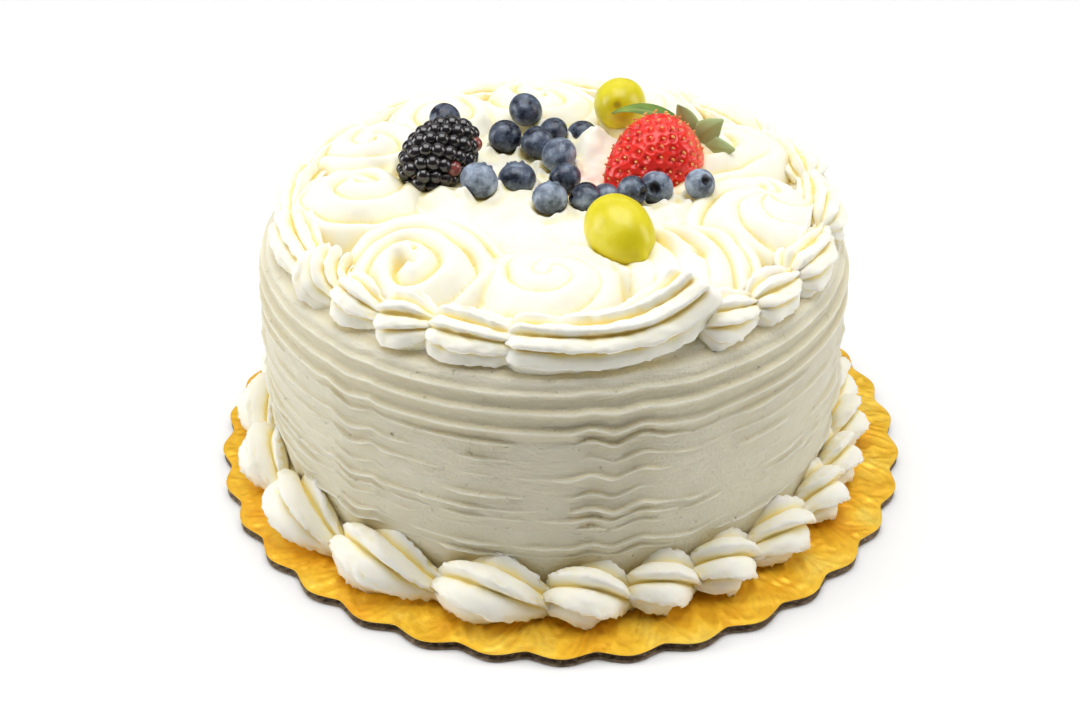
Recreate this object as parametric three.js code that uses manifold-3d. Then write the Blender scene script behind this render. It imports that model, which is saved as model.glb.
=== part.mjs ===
import * as THREE from 'three';
import { mergeVertices } from 'three/addons/utils/BufferGeometryUtils.js';
import Module from 'manifold-3d';

// A round cream cake with a fruit topping on a scalloped cake board.
// Millimetres, +Z up, +Y away from the front. The origin is the middle of the board's underside.

const wasm = await Module();
wasm.setup();

const gap = 0.3;
const fullTurn = 2 * Math.PI;

const colour = {
  gold: 0xdca92f,
  creamSide: 0xe6dfc6,
  cream: 0xf8f1da,
  blueberry: 0x4a5468,
  grape: 0xcfcd3a,
  strawberry: 0xd8302c,
  leaf: 0x6f8a3c,
  bramble: 0x1b1719,
};

// The board: a 10 inch round with 35 shallow scallops.
const board = {
  radius: 125.6,
  scallopDepth: 3,
  scallops: 35,
  scallopShape: 1.5,
  turn: 3,
  thickness: 3.6,
  pointsPerScallop: 4,
};

// The cake: an 8 inch round, a little barrelled, with combed ridges that are strong near the rim.
const cake = {
  centreX: -3,
  sides: 44,
  height: 88.5,
  widestRadius: 102.6,
  widestAt: 41,
  barrel: 0.0018,
  plainStations: [20, 41],
  ridgeTop: 86,
  ridgePitch: 6.2,
  strongRidges: 4,
  ridgeHeight: 1.2,
  rimRounding: 8,
  poolRadius: 42,
  poolSlope: 2,
  poolShoulder: 0.8,
  poolFlat: 0.6,
  poolHeight: 9.5,
};

// The shells piped round the foot. Each starts with a full head and runs out in a tail.
const shells = {
  sections: 5,
  ribs: 4,
  ribDepth: 0.2,
  ribCrowding: 0.72,
  ribDrift: 0.75,
  reach: 15.5,
  rise: 20,
  sizeSpread: 0.16,
  frontEdges: [-184, -167, -150, -130, -108, -88, -74, -61.5, -49, -33, -21, -9, 3],
  backCount: 11,
};

// The rosettes piped in a ring on top, round the pool of cream that holds the fruit.
const rosettes = {
  frontAngles: [-156, -124.5, -92, -52, -15],
  backCount: 5,
  ringRadius: 66,
  ringSpread: 2,
  sizeSpread: 0.12,
  radius: 29,
  height: 16,
  rings: 5,
  spokes: 14,
  ridgePitch: 7,
  ridgeDepth: 1.7,
  ridgePhase: 1.2,
  outerEdge: 88.5,
};

// The border piped along the rim in strokes, as [start angle, end angle, rise of the end].
const rim = {
  centreX: 1.5,
  radius: 89.6,
  height: 4.2,
  thickness: 8.8,
  ribs: 4,
  ribDepth: 0.13,
  sections: 3,
  startGap: 0.8,
  endGap: 0.2,
  twist: 0.5,
  widthShare: 0.92,
  frontStrokes: [
    [-166, -146, 0], [-146, -136, 1], [-136, -123, 0], [-123, -111.5, 0], [-111.5, -97.5, 0],
    [-97.5, -60, 10], [-60, -45, 0], [-45, -31, 0.5], [-31, -11, 0],
  ],
  backCount: 9,
  backRise: 0.6,
};

// Blueberries as [x, y, height of the middle over the pool, diameter].
const blueberries = [
  [-39.5, 38.4, 8.6, 11.4], [-10.6, 46.5, 8.6, 12.4], [-17.6, 31.1, 5.1, 12.2], [-6.1, 26.1, 5.6, 11.7],
  [1.8, 15.9, 5.6, 12.6], [-25.2, -5.4, 6.1, 12.9], [-12.6, 3.2, 2.6, 13.1], [3.9, 1.2, 4.1, 11.3],
  [-1.1, -14.8, 4.6, 12], [11, -13.1, 3.6, 11.4], [17.6, -5, 0.6, 9.6], [26.3, -13.9, 7.1, 10.6],
  [34.6, -6.5, 4.4, 11.8], [49.2, -9.4, 7.6, 10.4], [-0.5, 37.8, 4.1, 10.6], [9.9, 41.2, 1.6, 11],
];

// A little cream under the blueberry that sits highest.
const mound = { under: 11, radius: 7, height: 3.6 };

// The grapes, as place, long and short half axes, turn about Z and lean of the long axis.
const grapes = [
  { at: [23.9, 49, 10.1], long: 12, short: 9.6, turn: -97, lean: 8 },
  { at: [21.6, -43.9, 8.1], long: 13.4, short: 10.6, turn: -60, lean: -16 },
];

// The dark compound berry: a core under rows of drupelets.
const bramble = {
  at: [-39.7, 9.4, 8.1],
  long: 16.6,
  short: 11.6,
  turn: 46,
  lean: 20,
  drupelet: 4.8,
  rows: 4,
  reach: 0.97,
  perRing: 6,
};

const strawberry = { at: [33.4, 14.6, 3], length: 38, radius: 16.2, turn: 215, lean: -8, sides: 14 };

// Sepals by their direction round the hub (180 is up), and how far they bend down over the fruit.
const calyx = {
  hubRadius: 4.2,
  standOff: 1,
  hubBase: 0.5,
  hubEdge: 0.6,
  hubTop: 1.2,
  hubSides: 10,
  leafThickness: 0.9,
  leafFold: 0.7,
  leafWave: 0.25,
  stations: 4,
  leaves: [
    { roll: 120, length: 34, width: 6.5, bend: 88 },
    { roll: 160, length: 13, width: 7, bend: 3 },
    { roll: 226, length: 15, width: 7, bend: -46 },
    { roll: 262, length: 18, width: 7.5, bend: -30 },
    { roll: 78, length: 13, width: 6, bend: 40 },
  ],
};

const radians = (degrees) => THREE.MathUtils.degToRad(degrees);

// A repeatable number from 0 to 1 for piece number n.
function vary(n) {
  const s = Math.sin(n * 12.9898 + 4.137) * 43758.5453;
  return s - Math.floor(s);
}

function geometryOf(points, faces) {
  const geometry = new THREE.BufferGeometry();
  geometry.setAttribute('position', new THREE.Float32BufferAttribute(points.flat(), 3));
  geometry.setIndex(faces.flat());
  return geometry;
}

function signedVolume(points, faces) {
  let sum = 0;
  for (const [a, b, c] of faces) {
    const [p, q, r] = [points[a], points[b], points[c]];
    sum += p[0] * (q[1] * r[2] - q[2] * r[1]);
    sum += p[1] * (q[2] * r[0] - q[0] * r[2]);
    sum += p[2] * (q[0] * r[1] - q[1] * r[0]);
  }
  return sum / 6;
}

// A closed solid through rings of points. A ring of one point is a pole, an end ring gets a flat cap,
// and a loop joins its last ring to its first.
function loft(rings, loop = false) {
  const points = [];
  const faces = [];
  const rows = rings.map((ring) => ring.map((point) => points.push(point) - 1));
  const sides = Math.max(...rows.map((row) => row.length));
  const at = (row, i) => (row.length === 1 ? row[0] : row[i % sides]);
  for (let k = 0; k + (loop ? 0 : 1) < rows.length; k += 1) {
    const next = rows[(k + 1) % rows.length];
    for (let i = 0; i < sides; i += 1) {
      const [a, b] = [at(rows[k], i), at(rows[k], i + 1)];
      const [c, d] = [at(next, i), at(next, i + 1)];
      if (a !== b) faces.push([a, b, d]);
      if (c !== d) faces.push([a, d, c]);
    }
  }
  for (const [row, reverse] of loop ? [] : [[rows[0], true], [rows[rows.length - 1], false]]) {
    for (let i = 1; i + 1 < row.length; i += 1) {
      faces.push(reverse ? [row[0], row[i + 1], row[i]] : [row[0], row[i], row[i + 1]]);
    }
  }
  const outward = signedVolume(points, faces) > 0;
  return geometryOf(points, outward ? faces : faces.map(([a, b, c]) => [a, c, b]));
}

// A solid of revolution about Z from [radius, height] pairs that start and end on the axis.
function revolve(profile, sides) {
  const geometry = new THREE.LatheGeometry(profile.map(([r, z]) => new THREE.Vector2(r, z)), sides);
  geometry.rotateX(Math.PI / 2);
  return geometry;
}

function toManifold(geometry) {
  const bare = geometry.clone();
  bare.deleteAttribute('normal');
  bare.deleteAttribute('uv');
  const merged = mergeVertices(bare, 1e-4);
  const index = merged.index.array;
  const faces = [];
  for (let i = 0; i < index.length; i += 3) {
    const [a, b, c] = [index[i], index[i + 1], index[i + 2]];
    if (a !== b && b !== c && c !== a) faces.push([a, b, c]);
  }
  const position = merged.attributes.position;
  const points = Array.from({ length: position.count }, (_, i) => [
    position.getX(i), position.getY(i), position.getZ(i)]);
  if (signedVolume(points, faces) < 0) faces.forEach((face) => face.reverse());
  return new wasm.Manifold(new wasm.Mesh({
    numProp: 3,
    vertProperties: new Float32Array(points.flat()),
    triVerts: new Uint32Array(faces.flat()),
  }));
}

// The largest body of a solid, as a geometry: the small scraps and slivers of a cut are dropped.
function toGeometry(manifold, detail = 0.02) {
  const bodies = manifold.decompose().sort((a, b) => b.volume() - a.volume());
  const mesh = bodies[0].simplify(detail).getMesh();
  const geometry = new THREE.BufferGeometry();
  geometry.setAttribute('position', new THREE.Float32BufferAttribute(mesh.vertProperties, 3));
  geometry.setIndex(Array.from(mesh.triVerts));
  return geometry;
}

function boardGeometry() {
  const count = board.scallops * board.pointsPerScallop;
  const outline = Array.from({ length: count }, (_, i) => {
    const share = i / count;
    const angle = share * fullTurn + radians(board.turn);
    const wave = Math.abs(Math.cos(board.scallops * share * Math.PI)) ** board.scallopShape;
    const radius = board.radius - board.scallopDepth * (1 - wave);
    return new THREE.Vector2(radius * Math.cos(angle), radius * Math.sin(angle));
  });
  const shape = new THREE.Shape(outline);
  return new THREE.ExtrudeGeometry(shape, { depth: board.thickness, bevelEnabled: false });
}

// The side's radius at a height over the board.
const wallRadius = (z) => cake.widestRadius - cake.barrel * (z - cake.widestAt) ** 2;

function cakeProfile(grow) {
  const profile = [[0, -grow], [wallRadius(0) + grow, -grow]];
  const plainTop = cake.ridgeTop - cake.strongRidges * cake.ridgePitch;
  for (const z of [...cake.plainStations, plainTop]) profile.push([wallRadius(z) + grow, z]);
  for (let i = 0; i < cake.strongRidges; i += 1) {
    const groove = plainTop + i * cake.ridgePitch;
    const crest = groove + cake.ridgePitch / 2;
    profile.push([wallRadius(crest) + cake.ridgeHeight + grow, crest]);
    profile.push([wallRadius(groove + cake.ridgePitch) + grow, groove + cake.ridgePitch]);
  }
  const edge = wallRadius(cake.ridgeTop);
  profile.push([edge - cake.rimRounding / 2, cake.height - cake.rimRounding / 8 + grow]);
  profile.push([edge - cake.rimRounding * 1.5, cake.height + grow]);
  profile.push([cake.poolRadius + cake.poolSlope, cake.height + grow]);
  const shoulder = cake.height + cake.poolHeight * cake.poolShoulder;
  profile.push([cake.poolRadius - cake.poolSlope, shoulder + grow]);
  profile.push([cake.poolRadius * cake.poolFlat, cake.height + cake.poolHeight + grow]);
  profile.push([0, cake.height + cake.poolHeight + grow]);
  return profile;
}

// One foot shell in the corner between the side and the board, spanning the given angle about +X.
function shellGeometry(span, variant) {
  const rings = [];
  const fan = shells.ribs * 2 + 1;
  for (let k = 0; k < shells.sections; k += 1) {
    const t = k / (shells.sections - 1);
    const angle = radians(span) * (t - 0.5);
    const swell = shellSwell(t) * (1 + shells.sizeSpread * (variant - 0.5));
    const wall = wallRadius(shells.rise * 1.2) + gap;
    const ring = [[wall, 0]];
    for (let i = 0; i < fan; i += 1) {
      const turn = (i / (fan - 1)) ** (shells.ribCrowding + shells.ribDrift * t) * (Math.PI / 2);
      const rib = 1 - shells.ribDepth * (i % 2 === 0 ? 1 : 0);
      const out = shells.reach * swell * rib * Math.cos(turn);
      const up = shells.rise * swell * rib * Math.sin(turn);
      ring.push([wall + out, up]);
    }
    rings.push(ring.map(([r, z]) => [r * Math.cos(angle), r * Math.sin(angle), z]));
  }
  return loft(rings);
}

// How full a shell is along its length: a quick start, a full head, then a long tail.
function shellSwell(t) {
  return 0.5 + 0.5 * Math.sin(Math.PI * Math.min(1, 0.22 + t * 0.62) ** 0.9) - 0.28 * t * t;
}

function shellPlaces() {
  const front = shells.frontEdges;
  const last = front[front.length - 1];
  const step = (360 + front[0] - last) / shells.backCount;
  const back = Array.from({ length: shells.backCount }, (_, i) => last + step * (i + 1));
  const edges = [...front, ...back];
  const clear = THREE.MathUtils.radToDeg(gap / wallRadius(0));
  return edges.slice(1).map((edge, i) => ({ angle: (edges[i] + edge) / 2, span: edge - edges[i] - clear }));
}

function rosettePlaces() {
  const front = rosettes.frontAngles;
  const last = front[front.length - 1];
  const step = (360 + front[0] - last) / (rosettes.backCount + 1);
  const back = Array.from({ length: rosettes.backCount }, (_, i) => last + step * (i + 1));
  return [...front, ...back].map((degrees, i) => {
    const angle = radians(degrees);
    const ring = rosettes.ringRadius + rosettes.ringSpread * (vary(i + 40) - 0.5);
    const size = 1 + rosettes.sizeSpread * (vary(i + 80) - 0.5);
    return { x: ring * Math.cos(angle), y: ring * Math.sin(angle), size };
  });
}

// How far a rosette reaches in one direction before it meets a neighbour, the rim or the pool.
function rosetteReach(place, neighbours, turn) {
  const direction = [Math.cos(turn), Math.sin(turn)];
  let reach = rosettes.radius * place.size;
  for (const other of neighbours) {
    const [dx, dy] = [other.x - place.x, other.y - place.y];
    const apart = Math.hypot(dx, dy);
    const facing = (direction[0] * dx + direction[1] * dy) / apart;
    if (facing > 0.05) reach = Math.min(reach, (apart / 2 - gap / 2) / facing);
  }
  const step = 0.25;
  for (let s = step; s < reach; s += step) {
    const r = Math.hypot(place.x + s * direction[0], place.y + s * direction[1]);
    if (r >= rosettes.outerEdge || r <= cake.poolRadius + cake.poolSlope + gap) return s - step;
  }
  return reach;
}

function rosetteGeometry(place, neighbours) {
  const turns = Array.from({ length: rosettes.spokes }, (_, j) => (j / rosettes.spokes) * fullTurn);
  const reaches = turns.map((turn) => rosetteReach(place, neighbours, turn));
  const ringAt = (share, height) => turns.map((turn, j) => {
    const s = reaches[j] * share;
    return [s * Math.cos(turn), s * Math.sin(turn), height(s)];
  });
  const crest = (s) => rosettes.height * place.size * rosetteHeight(s / rosettes.radius);
  const { ridgeDepth, ridgePitch, ridgePhase } = rosettes;
  const wave = (s) => ridgeDepth * Math.cos((fullTurn * s) / ridgePitch + ridgePhase);
  const rings = [[[0, 0, 0]], ringAt(1, () => 0)];
  for (let k = rosettes.rings; k > 0; k -= 1) {
    rings.push(ringAt(k / rosettes.rings, (s) => crest(s) + wave(s)));
  }
  rings.push([[0, 0, crest(0) + wave(0)]]);
  return loft(rings);
}

// The dome of a rosette as a share of its height, with a dimple in the middle.
function rosetteHeight(s) {
  return Math.sqrt(Math.max(0.08, 1 - 0.85 * s * s)) - 0.22 * Math.exp(-((s / 0.16) ** 2));
}

function rimStrokes() {
  const front = rim.frontStrokes;
  const start = front[front.length - 1][1];
  const step = (360 + front[0][0] - start) / rim.backCount;
  const { backCount, backRise } = rim;
  const back = Array.from({ length: backCount }, (_, i) => [start + step * i, start + step * (i + 1), backRise]);
  return [...front, ...back];
}

// How full a stroke of the rim is along its length.
function strokeSwell(t) {
  return 0.74 + 0.26 * Math.sin(Math.PI * Math.min(1, 0.25 + 0.7 * t));
}

// The sections of one ribbed stroke along the rim, full where it starts and drawn out where it ends.
function strokeSections([from, to, endRise], variant, grow) {
  const sides = rim.ribs * 2;
  return Array.from({ length: rim.sections }, (_, k) => {
    const t = k / (rim.sections - 1);
    const angle = radians(THREE.MathUtils.lerp(from + rim.startGap, to - rim.endGap, t));
    const swell = strokeSwell(t) + 0.08 * (variant - 0.5);
    const lift = endRise * t ** 3;
    return Array.from({ length: sides }, (__, i) => {
      const turn = (i / sides) * fullTurn + rim.twist * t;
      const size = grow + rim.thickness * swell * (i % 2 === 0 ? 1 : 1 - 2 * rim.ribDepth);
      const r = rim.radius - 0.55 * lift + size * Math.cos(turn) * rim.widthShare;
      const z = cake.height + rim.height + lift + size * Math.sin(turn);
      return [rim.centreX + r * Math.cos(angle), r * Math.sin(angle), z];
    });
  });
}

function ellipsoidProfile(long, short, rows) {
  return Array.from({ length: rows + 1 }, (_, i) => {
    const turn = (i / rows) * Math.PI;
    const radius = i === 0 || i === rows ? 0 : short * Math.sin(turn);
    return [radius, -long * Math.cos(turn)];
  });
}

function grapeGeometry({ long, short }, grow) {
  return revolve(ellipsoidProfile(long + grow, short + grow, 8), 12);
}

function blueberryGeometry(diameter, grow) {
  const radius = diameter / 2 + grow;
  return revolve(ellipsoidProfile(radius * 0.93, radius * 1.02, 6), 10);
}

function brambleGeometry() {
  const { long, short, drupelet } = bramble;
  let solid = toManifold(revolve(ellipsoidProfile(long - drupelet * 0.5, short - drupelet * 0.6, 6), 8));
  for (let row = 0; row <= bramble.rows; row += 1) {
    const along = bramble.reach * ((2 * row) / bramble.rows - 1);
    const ring = Math.sqrt(1 - along * along);
    const count = Math.max(1, Math.round(bramble.perRing * ring));
    for (let i = 0; i < count; i += 1) {
      const turn = ((i + 0.5 * (row % 2)) / count) * fullTurn;
      const reach = (short - drupelet) * ring;
      const bead = new THREE.IcosahedronGeometry(drupelet, 0);
      bead.rotateZ(turn);
      bead.translate(reach * Math.cos(turn), reach * Math.sin(turn), along * (long - drupelet));
      solid = solid.add(toManifold(bead));
    }
  }
  return toGeometry(solid, 0.55);
}

// A strawberry about Z, its tip at the top: broad shoulders and a blunt tip.
function strawberryGeometry(grow) {
  const rows = 8;
  const profile = Array.from({ length: rows + 1 }, (_, i) => {
    const s = i / rows;
    const body = Math.sin(Math.PI * s ** 0.72) ** 0.62;
    const radius = i === 0 || i === rows ? 0 : (strawberry.radius + grow) * body * (1 - 0.2 * s * s);
    return [radius, (s - 0.5) * (strawberry.length + 2 * grow)];
  });
  return revolve(profile, strawberry.sides);
}

// One sepal as a thin folded strip that leaves the hub level, bends evenly and ends in a point.
function leafGeometry(leaf, grow) {
  const rings = [];
  const bend = radians(leaf.bend) || 1e-3;
  const length = leaf.length + grow;
  const thick = calyx.leafThickness / 2 + grow;
  for (let k = 0; k <= calyx.stations; k += 1) {
    const t = k / calyx.stations;
    const half = grow + (leaf.width / 2) * Math.max(0.12, Math.sin(Math.PI * (0.22 + 0.74 * t)));
    const turn = bend * t;
    const middle = [(length * Math.sin(turn)) / bend, (-length * (1 - Math.cos(turn))) / bend];
    const normal = [Math.sin(turn), Math.cos(turn)];
    const fold = calyx.leafFold * Math.sin(Math.PI * t) + calyx.leafWave * Math.sin(8 * t);
    const point = (side, up) => [middle[0] + normal[0] * up, side, middle[1] + normal[1] * up];
    rings.push([
      point(-half, fold - thick), point(0, -thick), point(half, fold - thick),
      point(half, fold + thick), point(0, thick), point(-half, fold + thick),
    ]);
  }
  const geometry = loft(rings);
  geometry.rotateZ(radians(leaf.roll));
  return geometry;
}

function calyxGeometry(grow) {
  const radius = calyx.hubRadius + grow;
  const under = -calyx.hubBase - grow;
  const profile = [[0, under], [radius, under], [radius, calyx.hubEdge + grow], [0, calyx.hubTop + grow]];
  let solid = toManifold(revolve(profile, calyx.hubSides));
  for (const leaf of calyx.leaves) solid = solid.add(toManifold(leafGeometry(leaf, grow)));
  return toGeometry(solid);
}

function material(hex, roughness, metalness = 0) {
  return new THREE.MeshStandardMaterial({ color: hex, roughness, metalness });
}

function piece(name, geometry, look) {
  const mesh = new THREE.Mesh(geometry, look);
  mesh.name = name;
  return mesh;
}

// Puts a piece whose long axis is Z at a place on top, turned about Z and leaning up from level.
function layOnTop(mesh, [x, y, up], turn, lean) {
  mesh.position.set(x, y, cake.height + cake.poolHeight + up);
  mesh.rotation.set(0, Math.PI / 2 - radians(lean), radians(turn), 'ZYX');
  return mesh;
}

// The same mesh with another geometry, as a solid in its group's frame.
function solidAt(mesh, geometry) {
  mesh.updateMatrix();
  return toManifold(geometry.clone().applyMatrix4(mesh.matrix));
}

const fruit = [];
const pockets = [];

function addFruit(mesh, grown) {
  fruit.push(mesh);
  pockets.push(solidAt(mesh, grown));
}

blueberries.forEach(([x, y, up, diameter], i) => {
  const mesh = piece(`blueberry_${i + 1}`, blueberryGeometry(diameter, 0), material(colour.blueberry, 0.6));
  layOnTop(mesh, [x, y, up], 360 * vary(i + 7), 90 * vary(i + 31));
  addFruit(mesh, blueberryGeometry(diameter, gap));
});

grapes.forEach((grape, i) => {
  const mesh = piece(`grape_${i + 1}`, grapeGeometry(grape, 0), material(colour.grape, 0.3));
  layOnTop(mesh, grape.at, grape.turn, grape.lean);
  addFruit(mesh, grapeGeometry(grape, gap));
});

const brambleMesh = piece('bramble_berry', brambleGeometry(), material(colour.bramble, 0.2));
layOnTop(brambleMesh, bramble.at, bramble.turn, bramble.lean);
addFruit(brambleMesh, revolve(ellipsoidProfile(bramble.long + 2 * gap, bramble.short + 4 * gap, 6), 12));

const strawberryMesh = piece('strawberry', strawberryGeometry(0), material(colour.strawberry, 0.25));
layOnTop(strawberryMesh, strawberry.at, strawberry.turn, strawberry.lean);
addFruit(strawberryMesh, strawberryGeometry(gap));

const calyxMesh = piece('strawberry_calyx', calyxGeometry(0), material(colour.leaf, 0.6));
const stemEnd = new THREE.Matrix4().makeTranslation(0, 0, -strawberry.length / 2 - calyx.standOff);
strawberryMesh.updateMatrix();
calyxMesh.applyMatrix4(strawberryMesh.matrix.clone().multiply(stemEnd).multiply(
  new THREE.Matrix4().makeRotationX(Math.PI)));
addFruit(calyxMesh, calyxGeometry(gap));

const allPockets = wasm.Manifold.union(pockets);

function cakeGeometry() {
  const [x, y] = blueberries[mound.under];
  const top = cake.height + cake.poolHeight;
  const heap = revolve([[0, top - 1], [mound.radius, top - 1], [mound.radius / 2, top + mound.height],
    [0, top + mound.height]], 10).translate(x, y, 0);
  const body = toManifold(revolve(cakeProfile(0), cake.sides)).add(toManifold(heap));
  return toGeometry(body.subtract(allPockets), 0.05);
}

// The rim border as one ring of strokes, with every face moved out by the given amount.
function rimSolid(grow) {
  const sections = rimStrokes().flatMap((stroke, i) => strokeSections(stroke, vary(i + 11), grow));
  return toManifold(loft(sections, true));
}

function rimGeometry() {
  return toGeometry(rimSolid(0).subtract(toManifold(revolve(cakeProfile(gap), cake.sides))), 0.14);
}

const cakeGroup = new THREE.Group();
cakeGroup.position.set(cake.centreX, 0, board.thickness + gap);
cakeGroup.add(piece('cake', cakeGeometry(), material(colour.creamSide, 0.75)));
cakeGroup.add(piece('rim_border', rimGeometry(), material(colour.cream, 0.6)));

shellPlaces().forEach(({ angle, span }, i) => {
  const mesh = piece(`foot_shell_${i + 1}`, shellGeometry(span, vary(i)), material(colour.cream, 0.6));
  mesh.rotation.z = radians(angle);
  cakeGroup.add(mesh);
});

const places = rosettePlaces();
const besideRosettes = allPockets.add(rimSolid(2 * gap));
places.forEach((place, i) => {
  const neighbours = places.filter((other) => other !== place);
  const at = new THREE.Matrix4().setPosition(place.x, place.y, cake.height + gap);
  const whole = rosetteGeometry(place, neighbours).applyMatrix4(at);
  const cut = toGeometry(toManifold(whole).subtract(besideRosettes), 0.13);
  const own = cut.applyMatrix4(at.clone().invert());
  const mesh = piece(`rosette_${i + 1}`, own, material(colour.cream, 0.6));
  mesh.position.setFromMatrixPosition(at);
  cakeGroup.add(mesh);
});

cakeGroup.add(...fruit);

const group = new THREE.Group();
group.add(piece('board', boardGeometry(), material(colour.gold, 0.35, 0.8)));
group.add(cakeGroup);

export default group;
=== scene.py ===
import bpy
import math
import numpy as np
from mathutils import Matrix, Vector


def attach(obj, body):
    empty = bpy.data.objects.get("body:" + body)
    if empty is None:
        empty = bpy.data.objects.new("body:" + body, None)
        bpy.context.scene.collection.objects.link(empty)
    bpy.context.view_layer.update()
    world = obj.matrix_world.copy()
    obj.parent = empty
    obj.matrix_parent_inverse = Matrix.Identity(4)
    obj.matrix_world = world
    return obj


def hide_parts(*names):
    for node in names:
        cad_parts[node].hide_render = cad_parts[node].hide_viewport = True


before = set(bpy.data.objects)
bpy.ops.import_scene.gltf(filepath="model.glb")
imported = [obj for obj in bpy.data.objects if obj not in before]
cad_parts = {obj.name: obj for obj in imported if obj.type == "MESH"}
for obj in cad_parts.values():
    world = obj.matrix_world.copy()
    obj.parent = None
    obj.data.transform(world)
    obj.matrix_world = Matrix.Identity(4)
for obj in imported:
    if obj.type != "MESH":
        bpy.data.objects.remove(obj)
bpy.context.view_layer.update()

# Lengths in this script are millimetres until a mesh is made.
mm = 0.001
boardTop = 3.6
cakeX = -3.0
cakeBase = 3.9
cakeTop = 92.4
poolTop = 101.9
turnOnce = 2 * math.pi
randomly = np.random.default_rng(11)


# Smooth noise from -1 to 1 with features of the given size.
def latticeNoise(points, size, seed=0):
    p = np.asarray(points, float) / size + 31.7 * seed
    base = np.floor(p).astype(np.int64)
    part = p - base
    part = part * part * (3 - 2 * part)
    total = np.zeros(p.shape[:-1])
    for corner in range(8):
        step = np.array([corner & 1, corner >> 1 & 1, corner >> 2 & 1])
        cell = base + step
        key = cell[..., 0] * 73856093 ^ cell[..., 1] * 19349663 ^ cell[..., 2] * 83492791
        key = ((key ^ (key >> 13)) * 1274126177) & 0x7fffffff
        key = (key ^ (key >> 15)) & 0xffff
        total += np.prod(np.where(step == 1, part, 1 - part), axis=-1) * (key / 32768.0 - 1)
    return total


def layeredNoise(points, size, seed=0, layers=3):
    total = 0
    for i in range(layers):
        total = total + latticeNoise(points, size / 2 ** i, seed + i) / 2 ** i
    return total


def smoothStep(low, high, value):
    t = np.clip((np.asarray(value, float) - low) / (high - low), 0, 1)
    return t * t * (3 - 2 * t)


def polar(radius, angle, z, centreX=cakeX):
    angle = np.radians(angle)
    return np.stack(np.broadcast_arrays(centreX + radius * np.cos(angle), radius * np.sin(angle), z), -1)


def makeObject(name, points, faces, material, attributes=None):
    mesh = bpy.data.meshes.new(name)
    mesh.from_pydata((np.asarray(points) * mm).tolist(), [], faces)
    for key, values in (attributes or {}).items():
        layer = mesh.attributes.new(key, "FLOAT", "POINT")
        layer.data.foreach_set("value", np.asarray(values, np.float32))
    return finishMesh(name, mesh, material)


def finishMesh(name, mesh, material):
    if signedVolume(mesh) < 0:
        mesh.flip_normals()
    mesh.polygons.foreach_set("use_smooth", np.full(len(mesh.polygons), True))
    mesh.materials.clear()
    mesh.materials.append(material)
    return addObject(name, mesh)


def meshPoints(mesh):
    points = np.empty(len(mesh.vertices) * 3)
    mesh.vertices.foreach_get("co", points)
    return points.reshape(-1, 3)


def signedVolume(mesh):
    mesh.calc_loop_triangles()
    corners = np.empty(len(mesh.loop_triangles) * 3, np.int64)
    mesh.loop_triangles.foreach_get("vertices", corners)
    a, b, c = meshPoints(mesh)[corners].reshape(-1, 3, 3).transpose(1, 0, 2)
    return float(np.sum(np.cross(a, b) * c))


# A new object in the scene.
def addObject(name, data):
    made = bpy.data.objects.new(name, data)
    bpy.context.scene.collection.objects.link(made)
    return made


# Angles round and down from the pole, as two grids of rows and sides.
def roundGrid(sides, down):
    around = np.linspace(0, turnOnce, sides, endpoint=False)
    return np.meshgrid(around, np.radians(down))


# Rows of points followed by their two poles, each at the height of its row.
def withPoles(shape):
    poles = [[0, 0, shape[0, :, 2].mean()], [0, 0, shape[-1, :, 2].mean()]]
    return np.concatenate([shape.reshape(-1, 3), poles])


# Faces over rows of closed rings. A start or end pole follows the rings in the list of points.
def ringFaces(rows, sides, start=False, end=False, looped=False):
    index = np.arange(rows * sides).reshape(rows, sides)
    beside = np.roll(index, -1, 1)
    faces = np.stack([index[:-1], beside[:-1], beside[1:], index[1:]], -1).reshape(-1, 4).tolist()
    if looped:
        faces += np.stack([index[-1], beside[-1], beside[0], index[0]], -1).tolist()
    pole = rows * sides
    if start:
        faces += [[pole, b, a] for a, b in zip(index[0].tolist(), beside[0].tolist())]
        pole += 1
    if end:
        faces += [[pole, a, b] for a, b in zip(index[-1].tolist(), beside[-1].tolist())]
    return faces


# How deep each point lies in a hollow, from 0 to 1 at the given size in mm.
def hollows(mesh, size, rounds):
    points = meshPoints(mesh) / mm
    pairs = np.empty(len(mesh.edges) * 2, np.int64)
    mesh.edges.foreach_get("vertices", pairs)
    a, b = pairs.reshape(-1, 2).T
    count = np.bincount(a, minlength=len(points)) + np.bincount(b, minlength=len(points))
    soft = points.copy()
    for _ in range(rounds):
        total = np.stack([np.bincount(a, soft[b, k], len(points)) + np.bincount(b, soft[a, k], len(points))
                          for k in range(3)], -1)
        soft = 0.3 * soft + 0.7 * total / np.maximum(count, 1)[:, None]
    normals = np.empty(len(points) * 3)
    mesh.vertex_normals.foreach_get("vector", normals)
    depth = np.sum((soft - points) * normals.reshape(-1, 3), 1)
    return np.clip(depth / size, -1, 1)


# Hides the model's parts that a piece stands in for, and sets it on the one body.
def settle(made, slot, *nodes):
    if nodes:
        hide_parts(*nodes)
    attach(made, "root")


# Stores the hollow and crest attributes, which the materials use for painted shade in hollows and a painted
# highlight on crests.
def storeHollows(made, size, rounds):
    values = hollows(made.data, size, rounds)
    layer = made.data.attributes.new("hollow", "FLOAT", "POINT")
    layer.data.foreach_set("value", np.clip(values, 0, 1).astype(np.float32))
    crest = made.data.attributes.new("crest", "FLOAT", "POINT")
    crest.data.foreach_set("value", np.clip(-values, 0, 1).astype(np.float32))


def addNode(tree, kind, inputs=None, **settings):
    made = tree.nodes.new(kind)
    for key, value in settings.items():
        setattr(made, key, value)
    for key, value in (inputs or {}).items():
        if isinstance(value, bpy.types.NodeSocket):
            tree.links.new(value, made.inputs[key])
        else:
            made.inputs[key].default_value = value
    return made


def maths(tree, operation, *values, clamp=False):
    made = addNode(tree, "ShaderNodeMath", dict(enumerate(values)), operation=operation, use_clamp=clamp)
    return made.outputs[0]


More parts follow.
